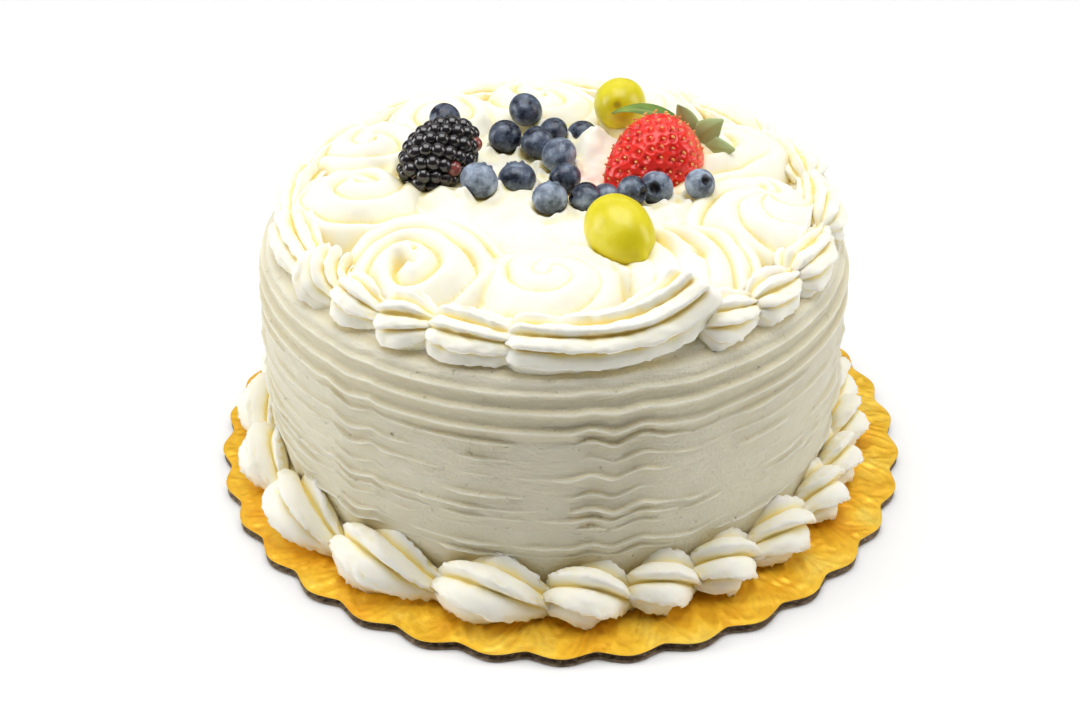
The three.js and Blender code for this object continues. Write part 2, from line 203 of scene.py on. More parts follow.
def vectorMaths(tree, operation, inputs):
    return addNode(tree, "ShaderNodeVectorMath", inputs, operation=operation).outputs[0]


def ramp(tree, value, stops):
    made = addNode(tree, "ShaderNodeValToRGB", {"Fac": value})
    elements = made.color_ramp.elements
    while len(elements) < len(stops):
        elements.new(0.5)
    for element, (position, colour) in zip(elements, stops):
        element.position = position
        element.color = (*linear(colour), 1)
    return made.outputs["Color"]


# sRGB from 0 to 255 as linear from 0 to 1.
def linear(colour):
    share = np.asarray(colour, float) / 255
    return tuple(np.where(share <= 0.04045, share / 12.92, ((share + 0.055) / 1.055) ** 2.4))


def mixColour(tree, factor, a, b):
    made = addNode(tree, "ShaderNodeMix", data_type="RGBA")
    for key, value in ((0, factor), (6, a), (7, b)):
        if isinstance(value, bpy.types.NodeSocket):
            tree.links.new(value, made.inputs[key])
        elif key == 0:
            made.inputs[0].default_value = value
        else:
            made.inputs[key].default_value = (*linear(value), 1)
    return made.outputs[2]


def newMaterial(name, **plain):
    material = bpy.data.materials.new(name)
    material.use_nodes = True
    tree = material.node_tree
    shader = tree.nodes["Principled BSDF"]
    for key, value in plain.items():
        shader.inputs[key.replace("_", " ")].default_value = value
    return material, tree, shader


def objectNoise(tree, scale, detail=3, roughness=0.5, stretch=None):
    vector = addNode(tree, "ShaderNodeTexCoord").outputs["Object"]
    if stretch:
        vector = addNode(tree, "ShaderNodeMapping", {"Vector": vector, "Scale": stretch}).outputs[0]
    return addNode(tree, "ShaderNodeTexNoise", {"Vector": vector, "Scale": scale, "Detail": detail,
                                                "Roughness": roughness}).outputs["Fac"]


def readAttribute(tree, name):
    return addNode(tree, "ShaderNodeAttribute", attribute_name=name).outputs["Fac"]


def addBump(tree, shader, height, strength, distance):
    bump = addNode(tree, "ShaderNodeBump", {"Height": height, "Strength": strength, "Distance": distance})
    tree.links.new(bump.outputs[0], shader.inputs["Normal"])


# Colours of the creams. In each, deep is the painted shade colour for hollows and crevices, and crest is the
# painted highlight colour for crests. The ambient occlusion reach and share set how far into crevices the
# painted shade runs and how strong it is.
creams = {
    # The side's cream gets a greyer, darker colour than the piped cream, as painted shade on the side.
    "side": {"light": (232, 226, 202), "deep": (224, 209, 164), "crest": (252, 248, 232),
             "hollowShadeShare": 0.2, "grain": 0.85, "pits": 14},
    "piped": {"light": (252, 248, 232), "deep": (247, 222, 120), "crest": (253, 249, 236),
              "hollowShadeShare": 0.4, "grain": 0.08, "pits": 0},
    "stain": (238, 176, 164), "paintedShadeReach": 6 * mm, "paintedShadeShare": 0.75, "patchiness": 0.22,
    "bumpHeight": 0.6 * mm,
}


# Whipped cream: painted shade makes it yellower in its hollows and crevices, and a painted highlight makes
# it paler on its crests, with grain, streaks and pits.
def creamMaterial(name, look):
    material, tree, shader = newMaterial(
        name, Roughness=0.48, Subsurface_Weight=0.3, Subsurface_Scale=3 * mm, Specular_IOR_Level=0.3)
    shader.inputs["Subsurface Radius"].default_value = (1.0, 0.8, 0.45)
    light, deep, pits = look["light"], look["deep"], look["pits"]
    # Painted shade: the colour runs towards deep in hollows, from the hollow attribute, and in crevices,
    # from the ambient occlusion node.
    hollow = maths(tree, "MULTIPLY", readAttribute(tree, "hollow"), look["hollowShadeShare"])
    near = addNode(tree, "ShaderNodeAmbientOcclusion", {"Distance": creams["paintedShadeReach"]}, samples=6)
    shade = maths(tree, "SUBTRACT", 1.0, near.outputs["AO"])
    depth = maths(tree, "ADD", hollow, maths(tree, "MULTIPLY", shade, creams["paintedShadeShare"]))
    patches = maths(tree, "SUBTRACT", objectNoise(tree, 60), 0.5)
    patches = maths(tree, "MULTIPLY", patches, creams["patchiness"])
    depth = maths(tree, "ADD", depth, patches, clamp=True)
    middle = tuple(0.5 * (np.array(light) + np.array(deep)))
    colour = ramp(tree, depth, [(0.08, light), (0.5, middle), (0.95, deep)])
    # Painted highlight: a paler colour on crests, from the crest attribute.
    colour = mixColour(tree, readAttribute(tree, "crest"), colour, look["crest"])
    colour = mixColour(tree, readAttribute(tree, "stain"), colour, creams["stain"])
    tree.links.new(colour, shader.inputs["Base Color"])
    fine = objectNoise(tree, 900, 4, 0.6)
    sparse = maths(tree, "SUBTRACT", objectNoise(tree, 420, 2), 0.68, clamp=True)
    streaks = objectNoise(tree, 170, 5, 0.65, (1, 1, 4))
    height = maths(tree, "ADD", maths(tree, "MULTIPLY", fine, look["grain"]),
                   maths(tree, "MULTIPLY", streaks, 0.12 * pits))
    height = maths(tree, "SUBTRACT", height, maths(tree, "MULTIPLY", sparse, pits))
    addBump(tree, shader, height, 1.0, creams["bumpHeight"])
    return material


# The side's cream: the piped cream, darkened and greyed as painted shade on the side.
shadedSideCream = creamMaterial("shadedSideCream", creams["side"])
pipedCream = creamMaterial("pipedCream", creams["piped"])


# The end of each geometry tree: real mesh, in its material.
def endTree(tree, geometry, material):
    whole = addNode(tree, "GeometryNodeRealizeInstances", {"Geometry": geometry})
    dressed = addNode(tree, "GeometryNodeSetMaterial", {"Geometry": whole.outputs[0], "Material": material})
    tree.links.new(dressed.outputs[0], tree.nodes.new("NodeGroupOutput").inputs[0])
    return tree


# A tree that sweeps a lobed nozzle shape along the curves it is given. lobe draws one lobe of it.
def pipedTree(name, lobe):
    tree = bpy.data.node_groups.new(name, "GeometryNodeTree")
    face = tree.interface
    face.new_socket("Path", in_out="INPUT", socket_type="NodeSocketGeometry")
    for label, kind, value in (
            ("Lobes", "NodeSocketInt", 6), ("Points Per Lobe", "NodeSocketInt", 10),
            ("Groove Depth", "NodeSocketFloat", 0.3), ("Unevenness", "NodeSocketFloat", 0.0004),
            ("Tearing", "NodeSocketFloat", 0.0003), ("Cream", "NodeSocketMaterial", None)):
        socket = face.new_socket(label, in_out="INPUT", socket_type=kind)
        if value is not None:
            socket.default_value = value
    face.new_socket("Piping", in_out="OUTPUT", socket_type="NodeSocketGeometry")
    given = tree.nodes.new("NodeGroupInput").outputs
    count = maths(tree, "MULTIPLY", given["Lobes"], given["Points Per Lobe"])
    circle = addNode(tree, "GeometryNodeCurvePrimitiveCircle", {"Resolution": count, "Radius": 1.0})
    place = addNode(tree, "GeometryNodeInputIndex").outputs[0]
    share = maths(tree, "FRACT", maths(tree, "DIVIDE", place, given["Points Per Lobe"]))
    shape = addNode(tree, "ShaderNodeFloatCurve", {"Value": share})
    curve = shape.mapping.curves[0]
    while len(curve.points) < len(lobe):
        curve.points.new(0.5, 0.5)
    for point, at in zip(curve.points, lobe):
        point.location = at
    shape.mapping.update()
    groove = shape.outputs[0]
    inward = maths(tree, "SUBTRACT", 1.0, maths(tree, "MULTIPLY", groove, given["Groove Depth"]))
    here = addNode(tree, "GeometryNodeInputPosition").outputs[0]
    moved = vectorMaths(tree, "SCALE", {0: here, "Scale": inward})
    profile = addNode(tree, "GeometryNodeSetPosition", {"Geometry": circle.outputs[0], "Position": moved})
    named = addNode(tree, "GeometryNodeStoreNamedAttribute",
                    {"Geometry": profile.outputs[0], "Name": "groove", "Value": groove},
                    data_type="FLOAT", domain="POINT")
    swept = addNode(tree, "GeometryNodeCurveToMesh",
                    {"Curve": given["Path"], "Profile Curve": named.outputs[0], "Fill Caps": True,
                     "Scale": tree.nodes.new("GeometryNodeInputRadius").outputs[0]})
    normal = addNode(tree, "GeometryNodeInputNormal").outputs[0]
    at = addNode(tree, "GeometryNodeInputPosition").outputs[0]
    slow = addNode(tree, "ShaderNodeTexNoise", {"Vector": at, "Scale": 130.0, "Detail": 2.0}).outputs["Fac"]
    fine = addNode(tree, "ShaderNodeTexNoise", {"Vector": at, "Scale": 620.0, "Detail": 2.0}).outputs["Fac"]
    read = addNode(tree, "GeometryNodeInputNamedAttribute", {"Name": "groove"}, data_type="FLOAT").outputs[0]
    edge = maths(tree, "POWER", maths(tree, "SUBTRACT", 1.0, read, clamp=True), 5.0)
    swell = maths(tree, "MULTIPLY", maths(tree, "SUBTRACT", slow, 0.5), given["Unevenness"])
    torn = maths(tree, "MULTIPLY", maths(tree, "MULTIPLY", maths(tree, "SUBTRACT", fine, 0.5), edge),
                 given["Tearing"])
    offset = vectorMaths(tree, "SCALE", {0: normal, "Scale": maths(tree, "ADD", swell, torn)})
    uneven = addNode(tree, "GeometryNodeSetPosition", {"Geometry": swept.outputs[0], "Offset": offset})
    return endTree(tree, uneven.outputs[0], given["Cream"])


# A curve object with one spline for each stroke of (points, radii, tilts in degrees).
def pathCurve(name, strokes):
    curve = bpy.data.curves.new(name, "CURVE")
    curve.dimensions = "3D"
    curve.twist_mode = "Z_UP"
    for points, radii, tilts in strokes:
        spline = curve.splines.new("POLY")
        spline.points.add(len(points) - 1)
        weighted = np.column_stack([np.asarray(points) * mm, np.ones(len(points))])
        spline.points.foreach_set("co", weighted.ravel())
        spline.points.foreach_set("radius", np.asarray(radii, float) * mm)
        spline.points.foreach_set("tilt", np.radians(tilts))
    return addObject(name, curve)


# The plain mesh object that a tree makes of a source, which is then removed.
def evaluated(source, tree, values, name, material):
    modifier = source.modifiers.new("shape", "NODES")
    modifier.node_group = tree
    keys = {item.name: item.identifier for item in tree.interface.items_tree if item.in_out == "INPUT"}
    for label, value in values.items():
        modifier[keys[label]] = value
    source.update_tag()
    graph = bpy.context.evaluated_depsgraph_get()
    mesh = bpy.data.meshes.new_from_object(source.evaluated_get(graph))
    mesh.name = name
    bpy.data.objects.remove(source)
    return finishMesh(name, mesh, material)


def pipe(name, strokes, tree, **values):
    settings = {key.replace("_", " "): value for key, value in values.items()}
    settings["Cream"] = pipedCream
    made = evaluated(pathCurve(name + "Path", strokes), tree, settings, name, pipedCream)
    storeHollows(made, 0.5, 6)
    return made


# Radius along a stroke with a round head and a drawn-out tail.
def roundedEnds(length, along, full, headLength, tailLength, tailShare):
    head = np.sqrt(np.clip(1 - (1 - np.clip(along / headLength, 0, 1)) ** 2, 0.0004, 1))
    tail = 1 - (1 - tailShare) * smoothStep(length - tailLength, length, along)
    end = np.sqrt(np.clip(1 - (1 - np.clip((length - along) / 2.0, 0, 1)) ** 2, 0.0004, 1))
    return full * head * tail * end


# One lobe of the nozzle, from crest to crest, as place and depth: a long slope, then a steep one.
bladeTree = pipedTree("bladePiping", [(0, 1), (0.1, 0.66), (0.3, 0.36), (0.55, 0.13), (0.73, 0.0),
                                      (0.79, 0.04), (0.86, 0.5), (0.93, 0.94), (1, 1)])


# The shells at the foot meet at these angles in front. Each starts small, swells to its full size and runs
# out in a tail while its ribs turn by the twist.
footShells = {
    "edges": [-184, -167, -150, -130, -108, -88, -74, -61.5, -49, -33, -21, -9, 3], "backCount": 11,
    "pathRadius": 108, "overlap": 1.16, "size": 11.6, "sizeSpread": 0.5, "startSize": 0.4, "swelling": 0.38,
    "tailShare": 0.62, "tailSize": 0.3, "tilt": -20, "tiltSpread": 12, "twist": 104,
    "nozzle": {"Lobes": 6, "Groove_Depth": 0.46, "Points_Per_Lobe": 14, "Unevenness": 1.4 * mm,
               "Tearing": 4.6 * mm},
}


# The side's radius at a height over the table, without its ridges.
def sideRadius(z):
    return 102.6 - 0.0018 * (z - cakeBase - 41) ** 2


def buildShells():
    data = footShells
    edges = list(data["edges"])
    step = (360 + edges[0] - edges[-1]) / data["backCount"]
    edges += [edges[-1] + step * (i + 1) for i in range(data["backCount"])]
    strokes = []
    for start, stop in zip(edges[:-1], edges[1:]):
        sizeDraw, tiltDraw = randomly.uniform(-1, 1, 4)[:2]
        arc = math.radians(stop - start) * data["pathRadius"]
        length = arc * data["overlap"]
        along = np.linspace(0, length, 42)
        full = (data["size"] + data["sizeSpread"] * sizeDraw) * min(1, 0.75 + arc / 140)
        swell = np.sin(0.5 * np.pi * np.clip(along / (data["swelling"] * length), 0, 1)) ** 0.8
        flare = data["startSize"] + 0.66 * swell
        radii = flare * roundedEnds(length, along, full, 2.0, data["tailShare"] * length, data["tailSize"])
        angle = start - 1.5 + (along / length) * (stop - start) * data["overlap"]
        out = sideRadius(12) + 0.34 * radii + 1.2
        z = boardTop + 0.4 + 0.78 * radii
        tilt = data["tiltSpread"] * tiltDraw + data["tilt"] + data["twist"] * along / length
        strokes.append((polar(out, angle, z), radii, tilt))
    made = pipe("footShells", strokes, bladeTree, **data["nozzle"])
    settle(made, "piped_cream", *[f"foot_shell_{i + 1}" for i in range(len(strokes))])


buildShells()
print("shells made")

# Each stroke in front as its start, its end, how far the end rises, its twist, how full its tail is and
# its size.
rimBorder = {
    "strokes": [(-169, -147, 0, 8, 0.7, 0.98), (-149, -135, 2.5, 160, 0.4, 1.1),
                (-137, -122.5, 0, 30, 0.35, 1.0), (-125, -111, 2.5, -40, 0.25, 1.1),
                (-114, -97, 0, 14, 0.7, 1.02), (-99, -60.5, 13, 34, 1.1, 0.96), (-61, -45, 0, 30, 0.3, 0.98),
                (-48, -31, 0.5, 24, 0.3, 0.98), (-34, -12, 0, 30, 0.4, 0.96)],
    "backStroke": (0.6, 30, 0.6, 0.95), "backCount": 9, "centreX": -1.5, "radius": 89.8, "z": cakeTop + 4.4,
    "size": 9.7, "sizeSpread": 0.04, "headLength": 6, "tailShare": 0.66, "tiltSpread": 25,
    "nozzle": {"Lobes": 9, "Groove_Depth": 0.34, "Points_Per_Lobe": 11, "Unevenness": 2.6 * mm,
               "Tearing": 2.2 * mm},
}


def buildRim():
    data = rimBorder
    first, last = data["strokes"][0][0], data["strokes"][-1][1]
    step = (360 + first - last) / data["backCount"]
    behind = [(last + step * i, last + step * (i + 1), *data["backStroke"])
              for i in range(data["backCount"])]
    strokes = []
    for start, stop, rise, twist, tail, size in data["strokes"] + behind:
        length = math.radians(stop - start) * data["radius"] + 3
        along = np.linspace(0, length, max(26, int(length * 1.1)))
        share = along / length
        full = data["size"] * size * (1 + data["sizeSpread"] * randomly.uniform(-1, 1))
        radii = roundedEnds(length, along, full, data["headLength"], data["tailShare"] * length, tail)
        lift = rise * share ** 4
        angle = start - 1 + share * (stop - start + 2)
        points = polar(data["radius"] - 0.4 * lift, angle, data["z"] + lift, data["centreX"])
        strokes.append((points, radii, data["tiltSpread"] * randomly.uniform(-1, 1) + twist * share))
    settle(pipe("rimBorder", strokes, bladeTree, **data["nozzle"]), "piped_cream", "rim_border")


buildRim()
print("rim made")

# Each swirl as the angle and radius of its middle and how far it reaches, then the angle and radius of the
# point that its ridges run round, how far apart they are and how many wind out from it, to either hand.
# Each hollow between the turns is angle, radius, depth and width. Each lap of cream against a fruit is
# start, end, height and width.
rosettes = {
    "swirls": [
        (-130, 62, 31, -126, 74, 9.2, 1), (-91, 64, 26, -90, 64, 9.4, -2), (-49, 62, 29, -97, 66, 7.6, 1),
        (-14, 69, 29, -12, 72, 14, 5), (-170, 66, 27, -174, 68, 10.5, 2), (23, 66, 27, 27, 69, 11, -3),
        (59, 66, 27, 59, 65, 10.0, 2), (95, 66, 27, 93, 69, 11, -3), (129, 66, 26, 129, 65, 10, 2),
        (158, 67, 24, 155, 70, 10.4, -2)],
    "hollows": [(-129, 74, 6, 2.6), (-127, 68, 2.5, 1.2), (-49, 69, 2.5, 2.2), (-7, 71, 3, 2),
                (-178, 66, 3, 3), (169, 62, 3, 3)],
    "laps": [((8, -46), (23, -60), 3.0, 2.4), ((-32, -14), (-12, -15), 2.0, 2.2),
             ((-4, -24), (6, -25), 1.6, 2.0)],
    "height": 16.2, "ridge": 4.2, "blend": 1.3, "outer": 88, "inner": 35, "rows": 118, "sides": 720,
}


# Height of the piped swirls over the cake's top, at places from the cake's middle.
def swirlHeight(x, y):
    flat = np.stack([x, y, 0 * x], -1)
    bentX = x + 3.4 * latticeNoise(flat, 24, 81) + 1.1 * latticeNoise(flat, 8, 82)
    bentY = y + 3.4 * latticeNoise(flat, 24, 83) + 1.1 * latticeNoise(flat, 8, 84)
    total = 0
    for i, (angle, radius, reach, turnAngle, turnRadius, pitch, arms) in enumerate(rosettes["swirls"]):
        middle = polar(radius, angle, 0, 0)
        away = np.hypot(bentX - middle[0], bentY - middle[1]) / reach
        dome = rosettes["height"] * (1 - 0.38 * away ** 2 - 0.62 * away ** 7)
        pivot = polar(turnRadius, turnAngle, 0, 0)
        acrossX, acrossY = bentX - pivot[0], bentY - pivot[1]
        phase = np.hypot(acrossX, acrossY) / pitch + 0.37 * i
        phase = phase - arms * np.arctan2(acrossY, acrossX) / turnOnce
        share = (phase - np.floor(phase)) ** 0.8
        ridge = 1 - np.abs(2 * share - 1) ** 1.8 + 0.3 * (share - 0.5)
        strength = rosettes["ridge"] * np.clip(0.72 + 0.8 * latticeNoise(flat, 15, 85 + i), 0.12, 1.2)
        total = total + np.exp(rosettes["blend"] * np.clip(dome + strength * (ridge - 0.75), -6, 40))
    height = np.log(total) / rosettes["blend"]
    for angle, radius, depth, width in rosettes["hollows"]:
        place = polar(radius, angle, 0, 0)
        height = height - depth * np.exp(-((bentX - place[0]) ** 2 + (bentY - place[1]) ** 2) / width ** 2)
    for start, stop, rise, width in rosettes["laps"]:
        run = np.array(stop) - np.array(start)
        share = np.clip(((x - start[0]) * run[0] + (y - start[1]) * run[1]) / (run @ run), 0, 1)
        off = np.hypot(x - start[0] - share * run[0], y - start[1] - share * run[1])
        height = height + rise * (1 + 0.5 * latticeNoise(flat, 2.6, 98)) * np.exp(-(off / width) ** 2)
    return height + 0.6 * layeredNoise(flat, 12, 95, 2) + 0.16 * latticeNoise(flat, 2.2, 97)


def buildRosettes():
    angle = np.linspace(0, 360, rosettes["sides"], endpoint=False)
    radii = np.linspace(rosettes["outer"], rosettes["inner"], rosettes["rows"])
    place = polar(radii[:, None], angle[None, :], 0.0, 0)
    height = np.maximum(swirlHeight(place[..., 0], place[..., 1]), 0.8)
    place[..., 2] = cakeTop + 0.2 + height
    under = polar(radii[[-1, 0], None], angle[None, :], cakeTop + 0.2, 0)
    points = np.concatenate([place, under]) + np.array([cakeX, 0, 0])
    faces = ringFaces(len(points), len(angle), looped=True)
    made = makeObject("rosettes", points.reshape(-1, 3), faces, pipedCream)
    storeHollows(made, 0.45, 6)
    settle(made, "piped_cream", *[f"rosette_{i + 1}" for i in range(len(rosettes["swirls"]))])


buildRosettes()
print("rosettes made")

# Each blueberry as its place, its height over the pool, its diameter and how pale its bloom is, then where
# its crown points, as degrees round and up. The other crowns point down.
blueberries = {
    "berries": [
        (-39.5, 38.4, 8.6, 11.4, 0.3, None), (-10.6, 46.5, 8.6, 12.4, 0.4, None),
        (-17.6, 31.1, 5.1, 12.2, 0.1, (120, -20)), (-6.1, 26.1, 5.6, 11.7, 0.4, None),
        (1.8, 15.9, 5.6, 12.6, 0.75, None), (-25.2, -5.4, 6.1, 12.9, 0.8, (60, 25)),
        (-12.6, 3.2, 2.6, 13.1, 0.4, (100, 62)), (3.9, 1.2, 4.1, 11.3, 0.2, (-60, -30)),
        (-1.1, -14.8, 4.6, 12, 0.6, (80, 40)), (11, -13.1, 3.6, 11.4, 0.2, (-170, 10)),
        (17.6, -5, 0.6, 9.6, 0.5, None), (26.3, -13.9, 7.1, 10.6, 0.15, (-40, 10)),
        (34.6, -6.5, 4.4, 11.8, 0.7, (-100, 25)), (49.2, -9.4, 7.6, 10.4, 0.95, (-60, 40)),
        (-0.5, 37.8, 4.1, 10.6, 0.3, None), (9.9, 41.2, 1.6, 11, 0.3, None)],
    "hiddenCrown": -50, "sides": 40, "wide": 1.02, "high": 0.9, "petals": 5,
}

# The combed side. Each strong ridge is height, how far it stands out and its width. Each wobble of the lines
# is angle, width and rise, and the lines are firm at some angles, each with its width.
cakeBody = {
    "strongRidges": [(89.8, 1.4, 1.7), (86.0, 1.6, 1.2), (80.0, 2.1, 1.5), (73.5, 1.9, 1.3)],
    "faintLines": [68.5, 62, 55.9, 48.9, 43.5, 40, 36, 29, 25],
    "wobbles": [(-133, 1.5, 0.9), (-128, 2.2, -1.2), (-123, 1.5, 1.0), (-83, 2.3, 1.8), (-79, 1.6, -0.7),
                (-74, 2.8, 2.3), (-64, 3.5, -1.3)],
    "firmAngles": [(-128, 4.5), (-83, 3), (-74, 4), (-104, 3)],
    "rowsByLine": [-1.7, -0.95, -0.5, -0.2, 0.05, 0.3, 0.6, 1.2], "sides": 720,
    "lipHeight": 0.85, "slopeHeight": 0.4, "rounding": 6,
}


# How far the combed lines run above or below their own height.
def lineShift(angle, line):
    flat = np.stack([np.cos(np.radians(angle)) * 100, np.sin(np.radians(angle)) * 100, 4 * line], -1)
    shift = 0.7 * latticeNoise(flat, 38, 3) + 0.25 * latticeNoise(flat, 12, 4)
    for at, width, size in cakeBody["wobbles"]:
        shift = shift + size * np.exp(-((angle - at) / width) ** 2)
    calm = (1 - 0.7 * smoothStep(68, 82, line)) * smoothStep(12, 24, line)
    return shift * calm * (1 - smoothStep(88, 92, line))


# How far the side stands out at an angle in degrees and a line's height.
def sideRelief(angle, line):
    flat = np.stack([np.cos(np.radians(angle)) * 100, np.sin(np.radians(angle)) * 100, 0 * line], -1)
    firm = 0 * line
    for at, width in cakeBody["firmAngles"]:
        firm = firm + 0.95 * np.exp(-((angle - at) / width) ** 2)
    relief = 0 * line
    for i, (at, height, width) in enumerate(cakeBody["strongRidges"]):
        above = np.maximum(line - at, 0) / (0.42 * width)
        below = np.maximum(at - line, 0) / (1.25 * width)
        strength = 1 + 0.25 * latticeNoise(flat, 26, 20 + i)
        relief = relief + strength * height * np.exp(-above ** 2 - below ** 2)
    for i, at in enumerate(cakeBody["faintLines"]):
        strength = 0.45 + 1.3 * latticeNoise(flat, 19, 60 + i) + 0.6 * latticeNoise(flat, 5, 75 + i)
        strength = np.clip(strength + firm, 0.0, 1.6)
        above = np.exp(-(np.maximum(line - at, 0) / 0.36) ** 2)
        below = np.maximum(at - line, 0)
        lip = cakeBody["lipHeight"] * np.exp(-(below / 0.5) ** 2)
        relief = relief + strength * above * (lip + cakeBody["slopeHeight"] * np.exp(-below / 3))
    around = np.stack([flat[..., 0], flat[..., 1], line * 4], -1)
    return relief + 0.25 * layeredNoise(around, 26, 5) + 0.09 * latticeNoise(around, 4, 9)


# The cream among the fruit. Each heap is place, height and width.
pool = {
    "heaps": [(14.5, 33.5, 7.5, 5.5), (13, 27, 5, 6), (-19, -4.5, 4.5, 4.5), (-31, -12, 4, 6),
              (-10, -11, 2.5, 5), (20, -21, 3, 6), (40, -14, 4.5, 6), (-33, 27, 4, 7), (-3, 44, 4, 6),
              (-22, 14, 2.5, 6), (25, 30, 4, 6), (7, -24, 2, 6), (-38, -4, 4, 6), (48, 2, 5, 7),
              (30, -22, 4, 6), (-20, 40, 3, 6)],
    "tornRise": 1.7, "tornWidth": 1.5, "foldHeight": 0.88, "edge": 60, "rows": 98, "sides": 560,
    "stain": (16, 12), "stainReach": 7,
}


# Height of the cream among the fruit over its plain pool: heaps, folds and the torn rise at each berry.
def poolRelief(x, y):
    flat = np.stack([x, y, 0 * x], -1)
    fold = 1 - 2 * np.abs(layeredNoise(flat, 13, 70, 2))
    relief = pool["foldHeight"] * fold + 0.4 * layeredNoise(flat, 4, 75, 2)
    bent = flat[..., :2] + 1.5 * np.stack([latticeNoise(flat, 6, 76), latticeNoise(flat, 6, 77)], -1)
    for atX, atY, height, width in pool["heaps"]:
        away = np.hypot(bent[..., 0] - atX, bent[..., 1] - atY) / width
        relief = relief + height * np.exp(-away ** 1.5)
    for atX, atY, up, diameter, *look in blueberries["berries"]:
        away = np.hypot(x - atX, y - atY)
        torn = 1 + 0.9 * latticeNoise(flat, 2.4, 78)
        beside = (away - 0.5 * diameter - 0.4) / pool["tornWidth"]
        relief = relief + pool["tornRise"] * torn * np.exp(-beside ** 2)
    return relief


def smoothMaximum(a, b, sharpness):
    high = np.maximum(a, b)
    return high + np.log(np.exp(sharpness * (a - high)) + np.exp(sharpness * (b - high))) / sharpness


def buildBody():
    sides = cakeBody["sides"]
    angle = np.linspace(-180, 180, sides, endpoint=False)
    lines = [ridge[0] for ridge in cakeBody["strongRidges"]] + cakeBody["faintLines"]
    heights = sorted({round(at + step, 3) for at in lines for step in cakeBody["rowsByLine"]})
    heights = [cakeBase, 5, 8, 11, 14, 17, 20, 22] + [z for z in heights if 22.5 < z < 91.6] + [91.9, 92.3]
    kept = [z for z, after in zip(heights, heights[1:] + [999]) if after - z > 0.13]
    lineHeight, around = np.meshgrid(kept, angle, indexing="ij")
    z = lineHeight + lineShift(around, lineHeight)
    shoulder = np.clip((z - 84) / 8.4, 0, 1)
    radius = sideRadius(z) + sideRelief(around, lineHeight) - cakeBody["rounding"] * shoulder ** 2.5
    side = polar(radius, around, z)
    foot = polar(np.full((1, sides), 60.0), angle[None, :], cakeBase)
    top = polar(np.array([[90.0], [60.0], [20.0]]), angle[None, :], cakeTop)
    points = np.concatenate([foot, side, top])
    poles = np.array([[cakeX, 0, cakeBase], [cakeX, 0, cakeTop]])
    made = makeObject("cakeBody", np.concatenate([points.reshape(-1, 3), poles]),
                      ringFaces(len(points), sides, True, True), shadedSideCream)
    storeHollows(made, 0.3, 4)
    settle(made, "cream_side", "cake")


def buildPool():
    angle = np.linspace(0, 360, pool["sides"], endpoint=False)
    radii = np.linspace(pool["edge"], 1, pool["rows"])
    place = polar(radii[:, None], angle[None, :], 0.0, 0)
    x, y = place[..., 0], place[..., 1]
    plain = poolTop - 1.2 + poolRelief(x, y) - 9 * smoothStep(47, 58, radii)[:, None]
    place[..., 2] = smoothMaximum(plain, cakeTop + 0.2 + swirlHeight(x, y) - 0.45, 1.1)
    flat = np.stack([x, y, 0 * x], -1)
    stain = np.exp(-(np.hypot(x - pool["stain"][0], y - pool["stain"][1]) / pool["stainReach"]) ** 2)
    stain = stain * np.clip(0.35 + 0.5 * layeredNoise(flat, 5, 99, 2), 0, 0.8)
    under = polar(np.full((1, len(angle)), float(pool["edge"])), angle[None, :], cakeTop + 0.1, 0)
    points = np.concatenate([under, place])
    poles = np.array([[0, 0, cakeTop + 0.1], [0, 0, float(place[-1, :, 2].mean())]])
    made = makeObject("poolCream", np.concatenate([points.reshape(-1, 3), poles]) + np.array([cakeX, 0, 0]),
                      ringFaces(len(points), len(angle), True, True), pipedCream,
                      {"stain": np.concatenate([np.zeros(len(angle)), stain.ravel(), [0, 0]])})
    storeHollows(made, 0.45, 6)
    settle(made, "piped_cream")


buildBody()
buildPool()
print("body made")

def blueberryMaterial():
    material, tree, shader = newMaterial("blueberrySkin", Specular_IOR_Level=0.45,
                                         Subsurface_Weight=0.05, Subsurface_Scale=1 * mm)
    bloom = objectNoise(tree, 260, 4, 0.62)
    patch = objectNoise(tree, 90, 2)
    dust = maths(tree, "ADD", maths(tree, "MULTIPLY", bloom, 0.8), maths(tree, "MULTIPLY", patch, 0.6))
    dust = maths(tree, "ADD", dust, maths(tree, "MULTIPLY", readAttribute(tree, "bloom"), 0.26))
    dust = maths(tree, "SUBTRACT", dust, 0.36)
    colour = ramp(tree, dust, [(0.3, (34, 37, 50)), (0.47, (86, 97, 116)), (0.68, (168, 182, 202))])
    crown = readAttribute(tree, "crown")
    colour = mixColour(tree, crown, colour, (30, 28, 34))
    tree.links.new(colour, shader.inputs["Base Color"])
    rough = maths(tree, "ADD", maths(tree, "MULTIPLY", dust, 0.5), 0.1, clamp=True)
    tree.links.new(rough, shader.inputs["Roughness"])
    addBump(tree, shader, bloom, 0.12, 0.0005)
    return material


# The matrix that turns +Z to a direction given in degrees round and up.
def turnTo(angle, up):
    angle, up = math.radians(angle), math.radians(up)
    aim = Vector((math.cos(angle) * math.cos(up), math.sin(angle) * math.cos(up), math.sin(up)))
    return np.array(aim.to_track_quat("Z", "Y").to_matrix())


